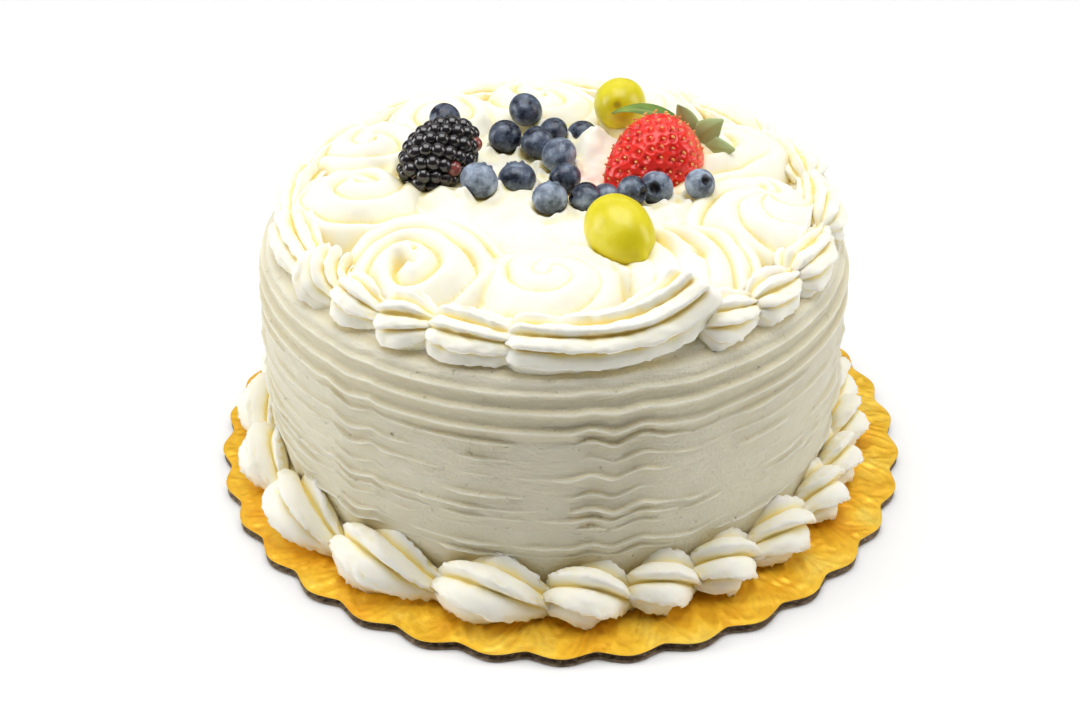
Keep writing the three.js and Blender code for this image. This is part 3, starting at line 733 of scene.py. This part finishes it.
# Rows of points of one berry with its crown at +Z, and how dark each is.
def blueberryPoints(diameter, seed):
    wide, high = blueberries["wide"], blueberries["high"]
    down = np.concatenate([np.linspace(3, 38, 15), np.linspace(44, 176, 19)])
    a, b = roundGrid(blueberries["sides"], down)
    radius = diameter / 2
    across = np.sin(b) * wide
    shape = np.stack([np.cos(a) * across, np.sin(a) * across, np.cos(b) * high], -1) * radius
    off = np.degrees(b)
    petal = 0.5 + 0.5 * np.cos(blueberries["petals"] * a + 0.7 * np.sin(3 * a + seed))
    hole = np.exp(-(off / 15.0) ** 2)
    lip = np.exp(-((off - 22 - 4 * petal) / 4.5) ** 2)
    push = -0.34 * radius * hole + radius * (0.05 + 0.11 * petal) * lip
    shape = shape + push[..., None] * np.array([0, 0, 1.0])
    shape = shape * (1 + 0.02 * layeredNoise(shape + 50 * seed, radius * 1.2, 4)[..., None])
    dark = np.clip(1.15 * np.exp(-(off / 19.0) ** 4), 0, 1)
    return shape, dark


def buildBlueberries():
    points, faces, dark, pale = [], [], [], []
    for i, (x, y, up, diameter, bloom, crown) in enumerate(blueberries["berries"]):
        shape, shade = blueberryPoints(diameter, i + 1)
        away = (randomly.uniform(0, 360), blueberries["hiddenCrown"])
        turned = withPoles(shape) @ turnTo(*(crown or away)).T
        whole = turned + np.array([cakeX + x, y, poolTop + up])
        base = sum(len(p) for p in points)
        faces += [[base + k for k in face] for face in ringFaces(len(shape), shape.shape[1], True, True)]
        points.append(whole)
        dark.append(np.concatenate([shade.ravel(), [1, 0]]))
        pale.append(np.full(len(whole), bloom))
    made = makeObject("blueberries", np.concatenate(points), faces, blueberryMaterial(),
                      {"crown": np.concatenate(dark), "bloom": np.concatenate(pale)})
    settle(made, "blueberry_skin", *[f"blueberry_{i + 1}" for i in range(len(points))])


buildBlueberries()
print("blueberries made")

# The matrix of a piece whose long axis Z lies at an angle round and rises by a lean, in degrees.
def lying(turn, lean):
    leaned = Matrix.Rotation(math.radians(90 - lean), 3, "Y")
    return np.array(Matrix.Rotation(math.radians(turn), 3, "Z") @ leaned)


def onTop(points, place, turn, lean):
    x, y, up = place
    return np.asarray(points) @ lying(turn, lean).T + np.array([cakeX + x, y, poolTop + up])


# Each grape as its place over the pool, half its length and width, how it lies and whether its tip shows.
grapes = [
    {"at": (23.9, 49, 10.1), "long": 12, "short": 9.6, "turn": -97, "lean": 22, "tip": 0},
    {"at": (21.6, -43.9, 8.1), "long": 13.4, "short": 10.6, "turn": -60, "lean": -16, "tip": 1},
]


def grapeMaterial():
    material, tree, shader = newMaterial("grapeSkin", Subsurface_Weight=0.45, Subsurface_Scale=4 * mm,
                                         Specular_IOR_Level=0.45)
    shader.inputs["Subsurface Radius"].default_value = (0.9, 0.8, 0.2)
    cloudy = objectNoise(tree, 110, 3)
    colour = ramp(tree, cloudy, [(0.3, (214, 201, 23)), (0.55, (228, 215, 40)), (0.75, (240, 230, 84))])
    scar = maths(tree, "MULTIPLY", readAttribute(tree, "scar"), 0.6)
    colour = mixColour(tree, scar, colour, (140, 106, 36))
    tree.links.new(colour, shader.inputs["Base Color"])
    dust = maths(tree, "ADD", maths(tree, "MULTIPLY", objectNoise(tree, 500, 4), 0.25), 0.2)
    tree.links.new(dust, shader.inputs["Roughness"])
    addBump(tree, shader, objectNoise(tree, 350, 3), 0.06, 0.0006)
    return material


def buildGrapes():
    skin = grapeMaterial()
    for i, grape in enumerate(grapes):
        sides, rows = 56, 60
        a, b = roundGrid(sides, np.linspace(1.5, 178.5, rows))
        wide = np.sin(b) ** 0.94 * grape["short"]
        high = np.cos(b) * grape["long"]
        off = np.degrees(b)
        dimple, nipple = 0.4 * np.exp(-(off / 8) ** 2), 1.6 * np.exp(-(off / 12) ** 2)
        high = high - dimple * (1 - grape["tip"]) + nipple * grape["tip"]
        wide = wide * (1 - 0.09 * grape["tip"] * np.cos(b))
        shape = np.stack([np.cos(a) * wide, np.sin(a) * wide, high], -1)
        shape = shape * (1 + 0.018 * layeredNoise(shape, 9, 30 + i, 2)[..., None])
        scar = np.exp(-(off / (7.5 - 2 * grape["tip"])) ** 4)
        points = onTop(withPoles(shape), grape["at"], grape["turn"], grape["lean"])
        made = makeObject(f"grape{i + 1}", points, ringFaces(rows, sides, True, True), skin,
                          {"scar": np.concatenate([scar.ravel(), [1, 0]])})
        settle(made, "grape_skin", f"grape_{i + 1}")


buildGrapes()
print("grapes made")


# A tree that puts one rounded grain on every point it is given, along the point's own direction.
def scatterTree(name, detail):
    tree = bpy.data.node_groups.new(name, "GeometryNodeTree")
    face = tree.interface
    face.new_socket("Places", in_out="INPUT", socket_type="NodeSocketGeometry")
    for label, kind in (("Grain Size", "NodeSocketVector"), ("Size Spread", "NodeSocketFloat"),
                        ("Seed", "NodeSocketInt"), ("Skin", "NodeSocketMaterial")):
        face.new_socket(label, in_out="INPUT", socket_type=kind)
    face.new_socket("Grains", in_out="OUTPUT", socket_type="NodeSocketGeometry")
    given = tree.nodes.new("NodeGroupInput").outputs
    grain = addNode(tree, "GeometryNodeMeshIcoSphere", {"Radius": 1.0, "Subdivisions": detail})
    aim = addNode(tree, "GeometryNodeInputNamedAttribute", {"Name": "aim"}, data_type="FLOAT_VECTOR")
    turned = addNode(tree, "FunctionNodeAlignRotationToVector", {"Vector": aim.outputs[0]},
                     axis="Z").outputs[0]
    low = maths(tree, "SUBTRACT", 1.0, given["Size Spread"])
    high = maths(tree, "ADD", 1.0, given["Size Spread"])
    draw = addNode(tree, "FunctionNodeRandomValue", {2: low, 3: high, "Seed": given["Seed"]},
                   data_type="FLOAT")
    size = vectorMaths(tree, "SCALE", {0: given["Grain Size"], "Scale": draw.outputs[1]})
    placed = addNode(tree, "GeometryNodeInstanceOnPoints", {
        "Points": given["Places"], "Instance": grain.outputs[0], "Rotation": turned, "Scale": size})
    return endTree(tree, placed.outputs[0], given["Skin"])


def scatter(name, places, aims, tree, material, attributes=None, **values):
    mesh = bpy.data.meshes.new(name + "Places")
    mesh.from_pydata((np.asarray(places) * mm).tolist(), [], [])
    layer = mesh.attributes.new("aim", "FLOAT_VECTOR", "POINT")
    layer.data.foreach_set("vector", np.asarray(aims, np.float32).ravel())
    for key, numbers in (attributes or {}).items():
        mesh.attributes.new(key, "FLOAT", "POINT").data.foreach_set("value", np.asarray(numbers, np.float32))
    source = addObject(name + "Places", mesh)
    settings = {key.replace("_", " "): value for key, value in values.items()}
    settings["Skin"] = material
    return evaluated(source, tree, settings, name, material)


# Places and outward directions spread evenly over a solid of revolution of (radius, height) rows.
def spiralOver(profile, count, offset=0.0):
    radius, height = profile.T
    step = np.hypot(np.diff(radius), np.diff(height)) * (radius[1:] + radius[:-1])
    covered = np.concatenate([[0], np.cumsum(step)])
    share = (np.arange(count) + 0.5) / count * covered[-1]
    r, h = np.interp(share, covered, radius), np.interp(share, covered, height)
    slope = np.interp(share, covered, np.arctan2(np.gradient(radius), -np.gradient(height)))
    turn = np.arange(count) * math.pi * (3 - math.sqrt(5)) + offset
    places = np.stack([r * np.cos(turn), r * np.sin(turn), h], -1)
    aims = np.stack([np.cos(turn) * np.cos(slope), np.sin(turn) * np.cos(slope), -np.sin(slope)], -1)
    return places, aims


grainTree = scatterTree("grainScatter", 3)
seedTree = scatterTree("seedScatter", 2)

# The bramble berry's place over the pool, half its length and width and how it lies. The unripe drupelets
# are the ones nearest to the places given.
bramble = {"at": (-39.7, 9.4, 8.1), "long": 16.6, "short": 11.6, "turn": 46, "lean": 20, "drupelets": 86,
           "drupelet": (2.85 * mm, 2.85 * mm, 2.6 * mm), "sizeSpread": 0.14,
           "coreLong": 14.2, "coreShort": 9.4, "coreSides": 24, "coreRows": 20,
           "hairs": 90, "hair": (0.16 * mm, 0.16 * mm, 1.3 * mm),
           "unripe": [(-37.5, 2.5, 110), (-27, 17, 112)]}


def brambleMaterial():
    material, tree, shader = newMaterial("brambleSkin", Specular_IOR_Level=1.0,
                                         Subsurface_Weight=0.05, Subsurface_Scale=1 * mm)
    colour = ramp(tree, readAttribute(tree, "tone"), [
        (0.0, (20, 16, 19)), (0.8, (34, 28, 31)), (0.95, (50, 32, 34)), (0.99, (150, 74, 66))])
    tree.links.new(colour, shader.inputs["Base Color"])
    rough = maths(tree, "ADD", maths(tree, "MULTIPLY", objectNoise(tree, 700, 3), 0.25), 0.1)
    tree.links.new(rough, shader.inputs["Roughness"])
    addBump(tree, shader, objectNoise(tree, 900, 3), 0.1, 0.0004)
    return material


def hairMaterial():
    material, tree, shader = newMaterial("brambleHair", Roughness=0.6)
    colour = ramp(tree, objectNoise(tree, 400), [(0.3, (96, 66, 44)), (0.7, (168, 130, 96))])
    tree.links.new(colour, shader.inputs["Base Color"])
    return material


def buildBramble():
    down = np.radians(np.linspace(0, 180, 60))
    small = np.stack([(bramble["short"] - 2.0) * np.sin(down), -(bramble["long"] - 2.0) * np.cos(down)], -1)
    places, aims = spiralOver(small, bramble["drupelets"])
    where = (bramble["at"], bramble["turn"], bramble["lean"])
    turned = aims @ lying(bramble["turn"], bramble["lean"]).T
    skin = brambleMaterial()
    placed = onTop(places, *where)
    tone = randomly.uniform(0, 0.9, len(places))
    for spot in bramble["unripe"]:
        tone[np.argmin(np.linalg.norm(placed - spot, axis=1))] = 1
    made = scatter("brambleBerry", placed, turned, grainTree, skin, {"tone": tone},
                   Grain_Size=bramble["drupelet"], Size_Spread=bramble["sizeSpread"], Seed=4)
    settle(made, "bramble_skin", "bramble_berry")
    sides, rows = bramble["coreSides"], bramble["coreRows"]
    a, b = roundGrid(sides, np.linspace(6, 174, rows))
    long, short = bramble["coreLong"], bramble["coreShort"]
    core = np.stack([np.cos(a) * np.sin(b) * short, np.sin(a) * np.sin(b) * short, np.cos(b) * long], -1)
    core = onTop(np.concatenate([core.reshape(-1, 3), [[0, 0, long], [0, 0, -long]]]), *where)
    faces = ringFaces(rows, sides, True, True)
    inner = makeObject("brambleCore", core, faces, skin, {"tone": np.zeros(len(core))})
    settle(inner, "bramble_skin")
    between, out = spiralOver(small * 1.1, bramble["hairs"], 0.6)
    out = out + randomly.normal(0, 0.5, out.shape)
    aims = out @ lying(bramble["turn"], bramble["lean"]).T
    hairs = scatter("brambleHairs", onTop(between * 1.03, *where), aims, seedTree, hairMaterial(),
                    Grain_Size=bramble["hair"], Size_Spread=0.3, Seed=9)
    settle(hairs, "bramble_skin")


buildBramble()
print("bramble made")

strawberry = {"at": (33.4, 14.6, 3), "length": 38, "radius": 16.2, "turn": 215, "lean": -8, "sides": 220,
              "rows": 130, "dent": 1.25, "dentWidth": 1.05, "seeds": 230, "seedDepth": 0.85,
              "seed": (0.44 * mm, 0.68 * mm, 0.36 * mm)}


def strawberryProfile(s):
    body = np.sin(np.pi * np.clip(s, 0, 1) ** 0.72) ** 0.62
    return np.stack([strawberry["radius"] * body * (1 - 0.2 * s * s), (s - 0.5) * strawberry["length"]], -1)


def strawberryMaterial():
    material, tree, shader = newMaterial("strawberrySkin", Roughness=0.17, Subsurface_Weight=0.22,
                                         Subsurface_Scale=0.003, Specular_IOR_Level=0.5)
    shader.inputs["Subsurface Radius"].default_value = (1.0, 0.2, 0.1)
    red = ramp(tree, objectNoise(tree, 120, 3), [
        (0.3, (220, 34, 30)), (0.6, (244, 56, 46)), (0.8, (250, 94, 74))])
    pale = readAttribute(tree, "shoulder")
    red = mixColour(tree, maths(tree, "MULTIPLY", pale, 0.75), red, (248, 140, 104))
    # Painted shade: a darker red in the dents round the seeds, from the hollow attribute.
    red = mixColour(tree, maths(tree, "MULTIPLY", readAttribute(tree, "hollow"), 0.5), red, (150, 12, 16))
    tree.links.new(red, shader.inputs["Base Color"])
    addBump(tree, shader, objectNoise(tree, 600, 3), 0.12, 0.0005)
    return material


def seedMaterial():
    material, tree, shader = newMaterial("seedCoat", Roughness=0.35)
    colour = ramp(tree, objectNoise(tree, 300), [(0.35, (230, 132, 66)), (0.65, (248, 196, 116))])
    tree.links.new(colour, shader.inputs["Base Color"])
    return material


def buildStrawberry():
    sides, rows = strawberry["sides"], strawberry["rows"]
    s = np.linspace(0.004, 0.996, rows)
    s = s + 0.06 * np.sin(turnOnce * s) / turnOnce
    radius, height = strawberryProfile(s).T
    turn = np.linspace(0, turnOnce, sides, endpoint=False)
    points = np.stack([radius[:, None] * np.cos(turn), radius[:, None] * np.sin(turn),
                       np.broadcast_to(height[:, None], (rows, sides))], -1)
    outline = strawberryProfile(np.linspace(0.0, 1, 200))
    places, aims = spiralOver(outline, strawberry["seeds"])
    places = places + np.cross(aims, randomly.normal(0, 0.35, aims.shape))
    flat = points.reshape(-1, 3)
    flat = flat * (1 + 0.02 * layeredNoise(flat, 22, 91, 2)[:, None])
    nearest = np.full(len(flat), 99.0)
    for place in places:
        nearest = np.minimum(nearest, np.linalg.norm(flat - place, axis=1))
    outward = flat / np.linalg.norm(flat, axis=1)[:, None]
    dent = strawberry["dent"] * np.exp(-(nearest / strawberry["dentWidth"]) ** 2)
    swell = 0.25 * np.exp(-((nearest - 1.9) / 0.7) ** 2)
    flat = flat + outward * (swell - dent)[:, None]
    poles = np.array([[0, 0, flat[:sides, 2].mean()], [0, 0, flat[-sides:, 2].mean()]])
    where = (strawberry["at"], strawberry["turn"], strawberry["lean"])
    share = np.concatenate([np.repeat(s, sides), [0, 1]])
    made = makeObject("strawberryBody", onTop(np.concatenate([flat, poles]), *where),
                      ringFaces(rows, sides, True, True), strawberryMaterial(),
                      {"shoulder": 1 - smoothStep(0.02, 0.3, share)})
    storeHollows(made, 0.4, 4)
    settle(made, "strawberry_skin", "strawberry")
    tilted = aims @ lying(strawberry["turn"], strawberry["lean"]).T
    sunk = places - strawberry["seedDepth"] * aims
    seeds = scatter("strawberrySeeds", onTop(sunk, *where), tilted, seedTree, seedMaterial(),
                    Grain_Size=strawberry["seed"], Size_Spread=0.15, Seed=2)
    settle(seeds, "strawberry_skin")


buildStrawberry()

# The leaves round the stem. Each turns about the stem by its roll, curls by its bend and twists to its face.
# The hub is radius and height from its base to the stem's end.
calyx = {
    "leaves": [{"roll": 124, "length": 34, "width": 10, "bend": 84, "face": 62},
               {"roll": 156, "length": 15, "width": 9, "bend": 12, "face": -30},
               {"roll": 222, "length": 16, "width": 10, "bend": -46, "face": 0},
               {"roll": 262, "length": 18, "width": 9, "bend": -30, "face": 20},
               {"roll": 84, "length": 13, "width": 7, "bend": 40, "face": 0}],
    "hub": [(3.6, -0.5), (4.2, 0.0), (3.8, 0.6), (2.2, 1.0), (1.2, 1.2), (1.0, 2.6), (0.8, 2.9)],
    "stations": 26, "across": 9, "hubSides": 24, "thickness": 0.32,
}


def leafMaterial():
    material, tree, shader = newMaterial("strawberryLeaf", Roughness=0.5, Subsurface_Weight=0.15,
                                         Subsurface_Scale=0.001)
    green = ramp(tree, objectNoise(tree, 160, 3), [
        (0.3, (78, 112, 22)), (0.6, (108, 142, 34)), (0.8, (152, 176, 70))])
    green = mixColour(tree, readAttribute(tree, "pale"), green, (170, 190, 132))
    green = mixColour(tree, readAttribute(tree, "rib"), green, (160, 166, 100))
    tree.links.new(green, shader.inputs["Base Color"])
    addBump(tree, shader, objectNoise(tree, 700, 3), 0.15, 0.0004)
    return material


# A sepal as rings of points, with how pale each point is and whether it is on the rib.
def leafRings(leaf, seed):
    rings, pale, rib = [], [], []
    bend, face = math.radians(leaf["bend"]), math.radians(leaf["face"])
    across = np.linspace(-1, 1, calyx["across"])
    for t in np.linspace(0, 1, calyx["stations"]):
        half = leaf["width"] / 2 * max(0.1, math.sin(math.pi * (0.22 + 0.75 * t)))
        turn = bend * t
        middle = (leaf["length"] * math.sin(turn) / bend, -leaf["length"] * (1 - math.cos(turn)) / bend)
        normal = (math.sin(turn), math.cos(turn))
        fold = 0.9 * math.sin(math.pi * t) * np.abs(across) ** 1.5 + 0.3 * np.sin(9 * t + seed) * across
        thick = calyx["thickness"] * (1 - 0.6 * np.abs(across))
        top, under = fold + thick, fold - thick
        for side, up, colour in ((across, top, 0.1), (across[::-1], under[::-1], 0.9)):
            lifted = up * math.cos(face) - side * half * math.sin(face)
            wide = up * math.sin(face) + side * half * math.cos(face)
            rings.append(np.stack([middle[0] + normal[0] * lifted, wide,
                                   middle[1] + normal[1] * lifted], -1))
            pale.append(np.full(len(across), colour))
            rib.append(0.8 * np.exp(-(side / 0.12) ** 2))
    shape = np.array(rings).reshape(calyx["stations"], 2 * calyx["across"], 3)
    roll = np.array(Matrix.Rotation(math.radians(leaf["roll"]), 3, "Z"))
    return shape @ roll.T, np.concatenate(pale), np.concatenate(rib)


def buildCalyx():
    points, faces, pale, rib = [], [], [], []

    # Adds closed rings of points between their two end points.
    def addRings(shape, ends, light, line):
        base = sum(len(p) for p in points)
        faces.extend([base + k for k in face] for face in ringFaces(*shape.shape[:2], True, True))
        points.append(np.concatenate([shape.reshape(-1, 3), ends]))
        pale.append(light)
        rib.append(line)

    for i, leaf in enumerate(calyx["leaves"]):
        shape, light, line = leafRings(leaf, i)
        ends = np.array([shape[0].mean(0), shape[-1].mean(0)])
        addRings(shape, ends, np.concatenate([light, [0, 0]]), np.concatenate([line, [0, 0]]))
    turn = np.linspace(0, turnOnce, calyx["hubSides"], endpoint=False)
    hub = np.array([np.stack([r * np.cos(turn), r * np.sin(turn), np.full(len(turn), z)], -1)
                    for r, z in calyx["hub"]])
    ends = [[0, 0, calyx["hub"][0][1]], [0, 0, calyx["hub"][-1][1]]]
    count = len(hub) * len(turn) + 2
    addRings(hub, ends, np.full(count, 0.3), np.zeros(count))
    local = np.concatenate(points) * np.array([1, -1, -1]) + np.array([0, 0, -strawberry["length"] / 2 - 1])
    placed = onTop(local, strawberry["at"], strawberry["turn"], strawberry["lean"])
    made = makeObject("strawberryCalyx", placed, faces, leafMaterial(),
                      {"pale": np.concatenate(pale), "rib": np.concatenate(rib)})
    settle(made, "strawberry_leaf", "strawberry_calyx")


buildCalyx()
print("strawberry made")

# The scalloped board. Its card has flutes that run one way, so they show open or shut round the edge.
board = {"radius": 125.6, "depth": 3.0, "scallops": 35, "turn": 3, "flutePitch": 6.4, "fluteTurn": 68,
         "fluteDepth": 0.7, "openDepth": 1.9, "metal": 0.38, "sides": 1080}


def boardMaterial():
    material, tree, shader = newMaterial("goldFoil")
    shade = objectNoise(tree, 45, 4, 0.6)
    gold = ramp(tree, shade, [(0.28, (240, 172, 22)), (0.5, (254, 204, 52)), (0.72, (255, 226, 100))])
    # Painted shade: a darker gold in the foil's hollows and creases, from the hollow attribute.
    gold = mixColour(tree, maths(tree, "MULTIPLY", readAttribute(tree, "hollow"), 0.5), gold, (206, 134, 16))
    fibre = objectNoise(tree, 500, 4, 0.6)
    brown = ramp(tree, fibre, [(0.3, (92, 76, 60)), (0.55, (138, 118, 94)), (0.75, (186, 166, 136))])
    card = readAttribute(tree, "card")
    tree.links.new(mixColour(tree, card, gold, brown), shader.inputs["Base Color"])
    metal = maths(tree, "MULTIPLY", maths(tree, "SUBTRACT", 1.0, card), board["metal"])
    tree.links.new(metal, shader.inputs["Metallic"])
    rough = maths(tree, "ADD", maths(tree, "MULTIPLY", card, 0.45), maths(tree, "ADD", maths(
        tree, "MULTIPLY", objectNoise(tree, 150, 3), 0.2), 0.3))
    tree.links.new(rough, shader.inputs["Roughness"])
    creases = maths(tree, "ADD", maths(tree, "MULTIPLY", fibre, 0.3), objectNoise(tree, 260, 3))
    addBump(tree, shader, creases, 0.5, 0.0008)
    return material


def boardEdge(angle):
    wave = np.abs(np.cos(board["scallops"] / 2 * np.radians(angle - board["turn"]))) ** 1.5
    return board["radius"] - board["depth"] * (1 - wave)


# The pressed pattern of the foil: leafy creases that run out from the middle, and small crumples.
def foilRelief(x, y):
    angle, radius = np.arctan2(y, x), np.hypot(x, y)
    lean = np.stack([angle * 26 + radius * 0.10, radius * 0.22 - 4 * np.abs(np.sin(angle * 17)), 0 * x], -1)
    leafy = np.maximum(1 - np.abs(layeredNoise(lean, 1.3, 51, 2)), 0) ** 2.5
    crumple = np.maximum(1 - np.abs(layeredNoise(np.stack([x, y, 0 * x], -1), 9, 55, 3)), 0) ** 2
    return 0.55 * leafy + 0.55 * crumple - 0.7


def buildBoard():
    sides = board["sides"]
    angle = np.linspace(-180, 180, sides, endpoint=False)
    edge = boardEdge(angle)
    direction = np.stack([np.cos(np.radians(angle)), np.sin(np.radians(angle))], -1)
    along = math.radians(board["fluteTurn"])
    facing = np.abs(direction @ np.array([math.cos(along), math.sin(along)]))
    phase = (direction * edge[:, None]) @ np.array([-math.sin(along), math.cos(along)])
    rows, card = [], []

    def addRow(radius, z, share):
        height = np.broadcast_to(z, angle.shape)
        rows.append(np.concatenate([direction * radius[:, None], height[:, None]], -1))
        card.append(np.full(sides, share))

    addRow(edge - 6, 0.0, 1)
    addRow(edge - 0.25, 0.0, 1)
    sheet = 1.65 + 1.15 * np.sin(turnOnce * phase / board["flutePitch"])
    depth = board["fluteDepth"] + board["openDepth"] * facing
    for z in np.linspace(0.15, 3.1, 11):
        openness = 1 - np.exp(-((z - sheet) / 0.42) ** 2)
        inside = float(smoothStep(0.35, 0.65, z) * (1 - smoothStep(2.6, 2.95, z)))
        frayed = 0.3 * latticeNoise(np.stack([phase, 0 * phase + 3 * z, edge], -1), 2.2, 15)
        addRow(edge - inside * openness * depth - 0.2 + 0.3 * frayed, z, 1)
    addRow(edge, 3.2, 0.6)
    addRow(edge, 3.45, 0)
    for inward in np.concatenate([[0.2], np.linspace(1, 30, 30)]):
        radius = edge - inward
        x, y = (direction * radius[:, None]).T
        relief = foilRelief(x, y) * min(1, inward / 2)
        addRow(radius, 3.6 + relief - 0.25 * math.exp(-inward / 1.2), 0)
    points = np.array(rows)
    centre = np.array([[0, 0, 0.0], [0, 0, 3.5]])
    made = makeObject("boardSheet", np.concatenate([points.reshape(-1, 3), centre]),
                      ringFaces(len(points), sides, True, True), boardMaterial(),
                      {"card": np.concatenate([np.array(card).ravel(), [1, 0]])})
    storeHollows(made, 0.25, 4)
    settle(made, "gold_board", "board")


buildBoard()
print("board made")

studio = {
    "floor": 0.96, "floorHalf": 6.0, "floorZ": -0.4 * mm, "air": 0.06,
    "lights": [("topSoft", (1.2, 0.95), 14.6, (0, -0.03, 1.25), (0, 0, 0.05)),
               ("leftSoft", (0.5, 0.8), 6.9, (-1.1, -0.04, 0.5), (0, 0, 0.06)),
               ("rightSoft", (0.5, 0.8), 5.0, (1.1, 0.02, 0.5), (0, 0, 0.06)),
               ("backSoft", (1.6, 0.4), 2.4, (0, 0.85, 0.8), (0, 0.6, 0))],
    "lens": 1581.1 / 1080 * 36, "eye": (0, -0.4847, 0.3535), "yaw": -0.9, "pitch": 33.54,
}


def buildStage():
    floorMaterial, tree, shader = newMaterial("floorWhite", Roughness=0.9)
    shader.inputs["Base Color"].default_value = (studio["floor"],) * 3 + (1,)
    half, low = studio["floorHalf"], studio["floorZ"]
    mesh = bpy.data.meshes.new("floor")
    mesh.from_pydata([(x, y, low) for x, y in ((-half, -half), (half, -half), (half, half), (-half, half))],
                     [], [(0, 1, 2, 3)])
    mesh.materials.append(floorMaterial)
    addObject("floor", mesh)


# A soft light of a size and power in watts, at a place and turned to what it lights, in metres.
def addLight(name, size, power, at, aim):
    lamp = bpy.data.lights.new(name, "AREA")
    lamp.shape = "RECTANGLE"
    lamp.size, lamp.size_y = size
    lamp.energy = power
    made = addObject(name, lamp)
    made.location = at
    made.rotation_euler = (Vector(aim) - Vector(at)).to_track_quat("-Z", "Y").to_euler()


buildStage()
for light in studio["lights"]:
    addLight(*light)

world = bpy.data.worlds.new("studio")
world.use_nodes = True
world.node_tree.nodes["Background"].inputs["Color"].default_value = (1, 1, 1, 1)
world.node_tree.nodes["Background"].inputs["Strength"].default_value = studio["air"]
bpy.context.scene.world = world
bpy.context.scene.view_settings.view_transform = "Standard"

camera = bpy.data.cameras.new("camera")
camera.sensor_width = 36
camera.lens = studio["lens"]
camera.clip_start = 0.01
camera.dof.use_dof = False
viewer = addObject("camera", camera)
yaw, pitch = math.radians(studio["yaw"]), math.radians(studio["pitch"])
forward = Vector((math.sin(yaw) * math.cos(pitch), math.cos(yaw) * math.cos(pitch), -math.sin(pitch)))
viewer.location = studio["eye"]
viewer.rotation_euler = forward.to_track_quat("-Z", "Y").to_euler()
bpy.context.scene.camera = viewer
print("stage set")
